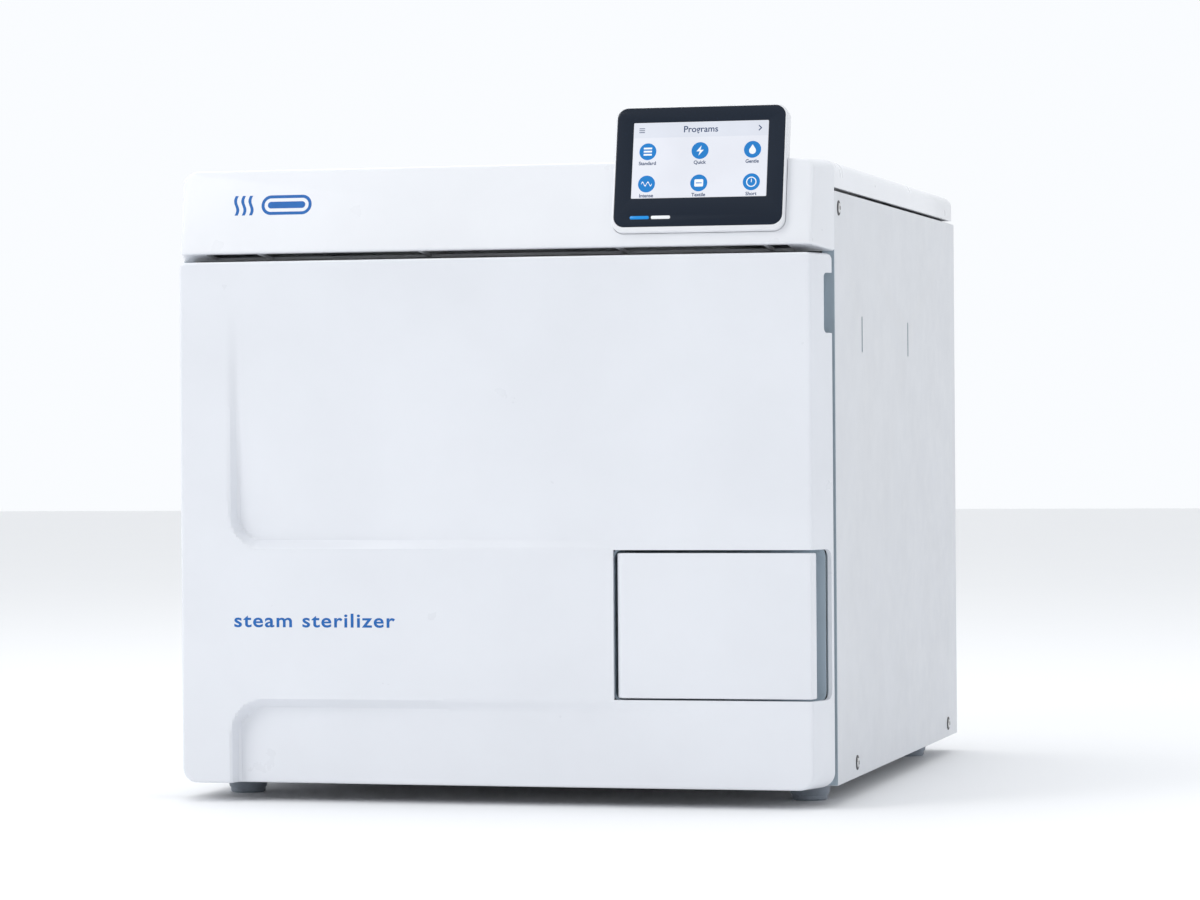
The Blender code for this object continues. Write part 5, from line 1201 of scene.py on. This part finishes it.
def build_chamber():
    lo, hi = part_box("pressure_chamber")
    gasket_lo, gasket_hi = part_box("door_gasket")
    centre_z = (lo.z + hi.z) / 2
    flange = (hi.x - lo.x) / 2
    inner = (gasket_hi.x - gasket_lo.x) / 2 - 0.0135
    outer = inner + 0.0035
    length = hi.y - lo.y
    dish = 0.0285
    profile = [(0.0, length)]
    for step in range(1, 13):
        angle = math.radians(90 - 90 * step / 12)
        profile.append((outer * math.cos(angle), length - dish + dish * math.sin(angle)))
    profile += [(outer, 0.012), (flange - 0.001, 0.012), (flange, 0.011), (flange, 0.001), (flange - 0.001, 0.0)]
    profile += [(inner + 0.0010, 0.0), (inner, 0.0010)]
    for step in range(13):
        angle = math.radians(90 * step / 12)
        profile.append((inner * math.cos(angle), length - dish + (dish - 0.0035) * math.sin(angle)))
    profile[-1] = (0.0, length - 0.0035)
    mesh = turned("chamber_shell", profile, (0, lo.y, centre_z), "Y", 96)
    show("chamber_shell", mesh, STEEL_DEPTHWISE, "casing", ["pressure_chamber"])
    build_chamber_fittings(lo, hi, centre_z, inner)


def build_chamber_fittings(lo, hi, centre_z, inner):
    """A strainer in the chamber's floor and a steam port high in its rear."""
    rim = [(0.010, 0.0006), (0.014, 0.0010), (0.015, 0.0), (0.0, 0.0), (0.0, 0.0004), (0.009, 0.0004)]
    strainer = turned("chamber_strainer", rim, (0, lo.y + 0.36, centre_z - inner + 0.0004), "Z", 40)
    show("chamber_strainer", strainer, BRASS, "casing")
    port = [(0.0, 0.0), (0.008, 0.0), (0.0085, 0.0008), (0.0085, 0.006), (0.006, 0.006), (0.006, 0.002), (0.0, 0.002)]
    mesh = turned("steam_port", [(r, -h) for r, h in port], (0, hi.y - 0.010, centre_z + 0.050), "Y", 32)
    show("steam_port", mesh, STEEL_DEPTHWISE, "casing")


def build_door_plate():
    lo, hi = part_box("door_plate")
    centre_z = (lo.z + hi.z) / 2
    outer = (hi.x - lo.x) / 2
    length = hi.y - lo.y
    back = length - 0.0105
    profile = [(0.0, length - 0.0022), (0.050, length - 0.0022), (0.056, length - 0.0002), (0.106, length - 0.0002)]
    profile += [(0.110, length - 0.0014), (0.1145, length - 0.0014), (0.1165, length)]
    profile += [(outer - 0.0025, length)]
    profile += [(outer - 0.0025 + 0.0025 * math.sin(a), length - 0.0025 + 0.0025 * math.cos(a)) for a in (0.5, 1.0)]
    profile += [(outer, length - 0.0025), (outer, back + 0.001), (outer - 0.001, back), (0.055, back)]
    profile += [(0.055, 0.0), (0.0, 0.0)]
    mesh = turned("door_plate_disc", profile, (0, lo.y, centre_z), "Y", 96)
    show("door_plate_disc", mesh, STEEL_UPRIGHT, "door", ["door_plate"])
    lo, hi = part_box("door_gasket")
    outer = (hi.x - lo.x) / 2
    inner = outer - 0.0105
    tall = hi.y - lo.y
    lip = [(inner + 0.001, 0.0), (inner, 0.001), (inner + 0.0015, tall * 0.75), (inner + 0.0035, tall)]
    lip += [(inner + 0.0055, tall * 0.72), (outer - 0.003, tall * 0.72), (outer - 0.0015, tall)]
    lip += [(outer, tall * 0.7), (outer, 0.001), (outer - 0.001, 0.0)]
    mesh = turned("gasket_ring", list(reversed(lip)), (0, lo.y, centre_z), "Y", 96)
    show("gasket_ring", mesh, SILICONE, "door", ["door_gasket"])


# Trays


def build_tray(number):
    """A pressed tray with rows of slots through its floor and a rolled rim."""
    lo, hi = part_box(f"tray_{number}")
    wall = 0.0011
    columns, rows = 13, 31
    bm = bmesh.new()
    left, right = lo.x + wall, hi.x - wall
    front, back = lo.y + wall, hi.y - wall
    xs = [left + (right - left) * step / columns for step in range(columns + 1)]
    ys = [front + (back - front) * step / rows for step in range(rows + 1)]
    grid = [[bm.verts.new((x, y, lo.z)) for x in xs] for y in ys]
    for row in range(rows):
        for column in range(columns):
            slotted = row % 3 == 1 and column % 2 == 1
            if slotted:
                continue
            bm.faces.new(
                (grid[row][column], grid[row][column + 1], grid[row + 1][column + 1], grid[row + 1][column])
            )
    rim = rim_of(grid)
    last = rim
    for out, up in ((0.6, 0.15), (1.0, 0.6), (1.0, 1.6), (1.0, None)):
        ring = []
        for vert in rim:
            way_x = -1 if vert.co.x < left + 0.0001 else 1 if vert.co.x > right - 0.0001 else 0
            way_y = -1 if vert.co.y < front + 0.0001 else 1 if vert.co.y > back - 0.0001 else 0
            z = hi.z if up is None else lo.z + up * wall
            ring.append(bm.verts.new((vert.co.x + way_x * out * wall, vert.co.y + way_y * out * wall, z)))
        bridge(bm, last, ring)
        last = ring
    bmesh.ops.recalc_face_normals(bm, faces=bm.faces)
    if max(bm.faces, key=lambda f: f.calc_area()).normal.z > 0:
        bmesh.ops.reverse_faces(bm, faces=bm.faces)
    mesh = bpy.data.meshes.new(f"tray_sheet_{number}")
    bm.to_mesh(mesh)
    bm.free()
    tray = show(f"tray_sheet_{number}", mesh, STEEL_DEPTHWISE, "casing", [f"tray_{number}"])
    thicken(tray, 0.0010)
    finished(tray)
    soften(tray.data, 35)


# Tanks


def build_tank(name):
    """An open moulded tank with a rolled rim."""
    lo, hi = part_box(name)
    bm = bmesh.new()
    add_box(bm, lo, hi)
    top = [face for face in bm.faces if face.calc_center_median().z > hi.z - 0.001]
    bmesh.ops.delete(bm, geom=top, context="FACES_ONLY")
    upright = [edge for edge in bm.edges if abs(edge.verts[0].co.z - edge.verts[1].co.z) > 0.01]
    bmesh.ops.bevel(bm, geom=upright, offset=0.018, segments=8, affect="EDGES", profile=0.5)
    foot = [
        edge
        for edge in bm.edges
        if len(edge.link_faces) == 2 and edge.calc_face_angle() > math.radians(50)
    ]
    bmesh.ops.bevel(bm, geom=foot, offset=0.005, segments=4, affect="EDGES", profile=0.5)
    bmesh.ops.recalc_face_normals(bm, faces=bm.faces)
    if min(bm.faces, key=lambda face: face.calc_center_median().z).normal.z > 0:
        bmesh.ops.reverse_faces(bm, faces=bm.faces)
    mesh = bpy.data.meshes.new(f"{name}_shell")
    bm.to_mesh(mesh)
    bm.free()
    tank = show(f"{name}_shell", mesh, TANK, "casing", [name])
    thicken(tank, 0.0025)
    break_edges(tank, 0.0008, 3)
    finished(tank)
    soften(tank.data, 35)


# CAD nodes that stay, with broken edges and better finishes


def refine(node, finish, width=0.0004, degrees=35):
    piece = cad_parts[node]
    piece.data.materials.clear()
    piece.data.materials.append(finish)
    weld = piece.modifiers.new("weld", "WELD")
    weld.merge_threshold = 0.000005
    flat = piece.modifiers.new("flat", "DECIMATE")
    flat.decimate_type = "DISSOLVE"
    flat.angle_limit = math.radians(0.5)
    if width:
        break_edges(piece, width, 2, degrees)
    piece.data.shade_smooth()
    smooth_by_angle(piece)


def smooth_by_angle(piece):
    piece.data.set_sharp_from_angle(angle=math.radians(35))


KEPT = {
    "base_plate": (ZINC, 0.0003),
    "front_panel": (STEEL_SIDEWAYS, 0.0),
    "rear_panel": (SIDE_GREY, 0.0),
    "chamber_insulation": (FIBRE, 0.002),
    "chamber_stand": (ZINC, 0.0006),
    "band_heater": (ZINC, 0.0004),
    "tray_rack": (STEEL_DEPTHWISE, 0.0003),
    "door_inner_cover": (DARK_GREY, 0.0),
    "door_crossbar": (ZINC, 0.0008),
    "hinge_bracket": (ZINC, 0.0008),
    "hinge_pin": (STEEL_UPRIGHT, 0.0006),
    "grip_pin": (STEEL_UPRIGHT, 0.0004),
    "grip_spring": (STEEL_UPRIGHT, 0.0),
    "striker": (STEEL_UPRIGHT, 0.0006),
    "lock_frame": (ZINC, 0.0006),
    "lock_claw": (STEEL_SIDEWAYS, 0.0006),
    "lock_motor": (ZINC, 0.0008),
    "vacuum_pump": (ZINC, 0.0010),
    "condenser": (STEEL_SIDEWAYS, 0.0003),
    "fan_shroud": (BLACK_PLASTIC_AND_SHADE, 0.0006),
    "fan_rotor": (BLACK_PLASTIC_AND_SHADE, 0.0003),
    "solenoid_manifold": (BRASS, 0.0008),
    "safety_valve": (BRASS, 0.0004),
    "safety_valve_cap": (BRASS, 0.0004),
    "main_board": (BOARD, 0.0),
    "mains_inlet": (BLACK_PLASTIC_AND_SHADE, 0.0004),
    "power_switch_frame": (RECESS_GREY_AND_GAP_SHADE, 0.0006),
    "power_switch_rocker": (BLACK_PLASTIC_AND_SHADE, 0.0005),
    "overheat_reset_button": (BLACK_PLASTIC_AND_SHADE, 0.0003),
    "sterile_filter": (TANK, 0.0006),
}


# Stage


def area_light(name, place, target, size, power, colour):
    data = bpy.data.lights.new(name, "AREA")
    data.shape = "RECTANGLE"
    data.size, data.size_y = size
    data.energy = power
    data.color = colour
    light = bpy.data.objects.new(name, data)
    bpy.context.scene.collection.objects.link(light)
    light.location = place
    light.rotation_mode = "QUATERNION"
    light.rotation_quaternion = (Vector(target) - Vector(place)).to_track_quat("-Z", "Y")


def build_stage():
    bm = bmesh.new()
    bmesh.ops.create_grid(bm, x_segments=8, y_segments=8, size=12.0)
    floor = bpy.data.objects.new("floor", mesh_of("floor", bm))
    bpy.context.scene.collection.objects.link(floor)
    paint = Shader("floor_paint", (0.93, 0.935, 0.945), 0.6)
    paint.rough(paint.noise(3.0), 0.55, 0.7)
    floor.data.materials.append(paint.material)
    build_world()
    middle = (LOW + HIGH) / 2
    area_light("key", (-2.7, -2.9, 2.5), middle, (2.0, 2.0), 46, (1.0, 0.995, 0.985))
    area_light("fill", (2.8, -1.6, 1.3), middle, (1.8, 2.4), 11, (0.95, 0.975, 1.0))
    area_light("top", (-0.5, 0.2, 3.2), middle, (2.6, 2.6), 27, (1.0, 1.0, 1.0))


def build_world():
    """A soft white surround, brightest above and to the left behind the object."""
    world = bpy.data.worlds.new("studio")
    world.use_nodes = True
    tree = world.node_tree
    backdrop = tree.nodes["Background"]
    backdrop.inputs["Color"].default_value = (0.955, 0.975, 1.0, 1.0)
    where = tree.nodes.new("ShaderNodeTexCoord")
    side = tree.nodes.new("ShaderNodeVectorMath")
    side.operation = "DOT_PRODUCT"
    side.inputs[1].default_value = (-0.40, 0.62, 0.68)
    level = tree.nodes.new("ShaderNodeMapRange")
    level.inputs["From Min"].default_value = -0.6
    level.inputs["From Max"].default_value = 0.6
    level.inputs["To Min"].default_value = 0.44
    level.inputs["To Max"].default_value = 1.0
    tree.links.new(where.outputs["Generated"], side.inputs[0])
    tree.links.new(side.outputs["Value"], level.inputs["Value"])
    tree.links.new(level.outputs["Result"], backdrop.inputs["Strength"])
    bpy.context.scene.world = world
    bpy.context.scene.view_settings.view_transform = "Standard"


def build_camera():
    data = bpy.data.cameras.new("camera")
    data.lens = 126.2
    data.sensor_width = 36.0
    data.shift_x = -0.00175
    data.shift_y = -0.01475
    camera = bpy.data.objects.new("camera", data)
    bpy.context.scene.collection.objects.link(camera)
    camera.location = (0.903, FRONT - 3.270, 0.3018)
    yaw = Matrix.Rotation(math.radians(13.91), 4, "Z")
    pitch = Matrix.Rotation(math.radians(90 - 0.02), 4, "X")
    roll = Matrix.Rotation(math.radians(-0.41), 4, "Z")
    camera.rotation_euler = (yaw @ pitch @ roll).to_euler()
    bpy.context.scene.camera = camera


def build():
    build_camera()
    build_stage()
    build_door_cover()
    build_header_cover()
    build_display()
    build_top_cover()
    for side, word in ((-1, "left"), (1, "right")):
        build_side_panel(side, word)
        for number in (1, 2, 3):
            build_side_screw(side, word, number)
    for place in ("front_left", "front_right", "rear_left", "rear_right"):
        build_foot(place)
    build_closing_grip()
    build_grip_recess()
    print_on_door("door_word", "steam sterilizer", -0.2186, 0.1436, 0.0158)
    build_header_mark()
    build_chamber()
    build_door_plate()
    for number in (1, 2, 3):
        build_tray(number)
    for name in ("feed_water_tank", "waste_water_tank"):
        build_tank(name)
    for node, (finish, width) in KEPT.items():
        refine(node, finish, width)


build()
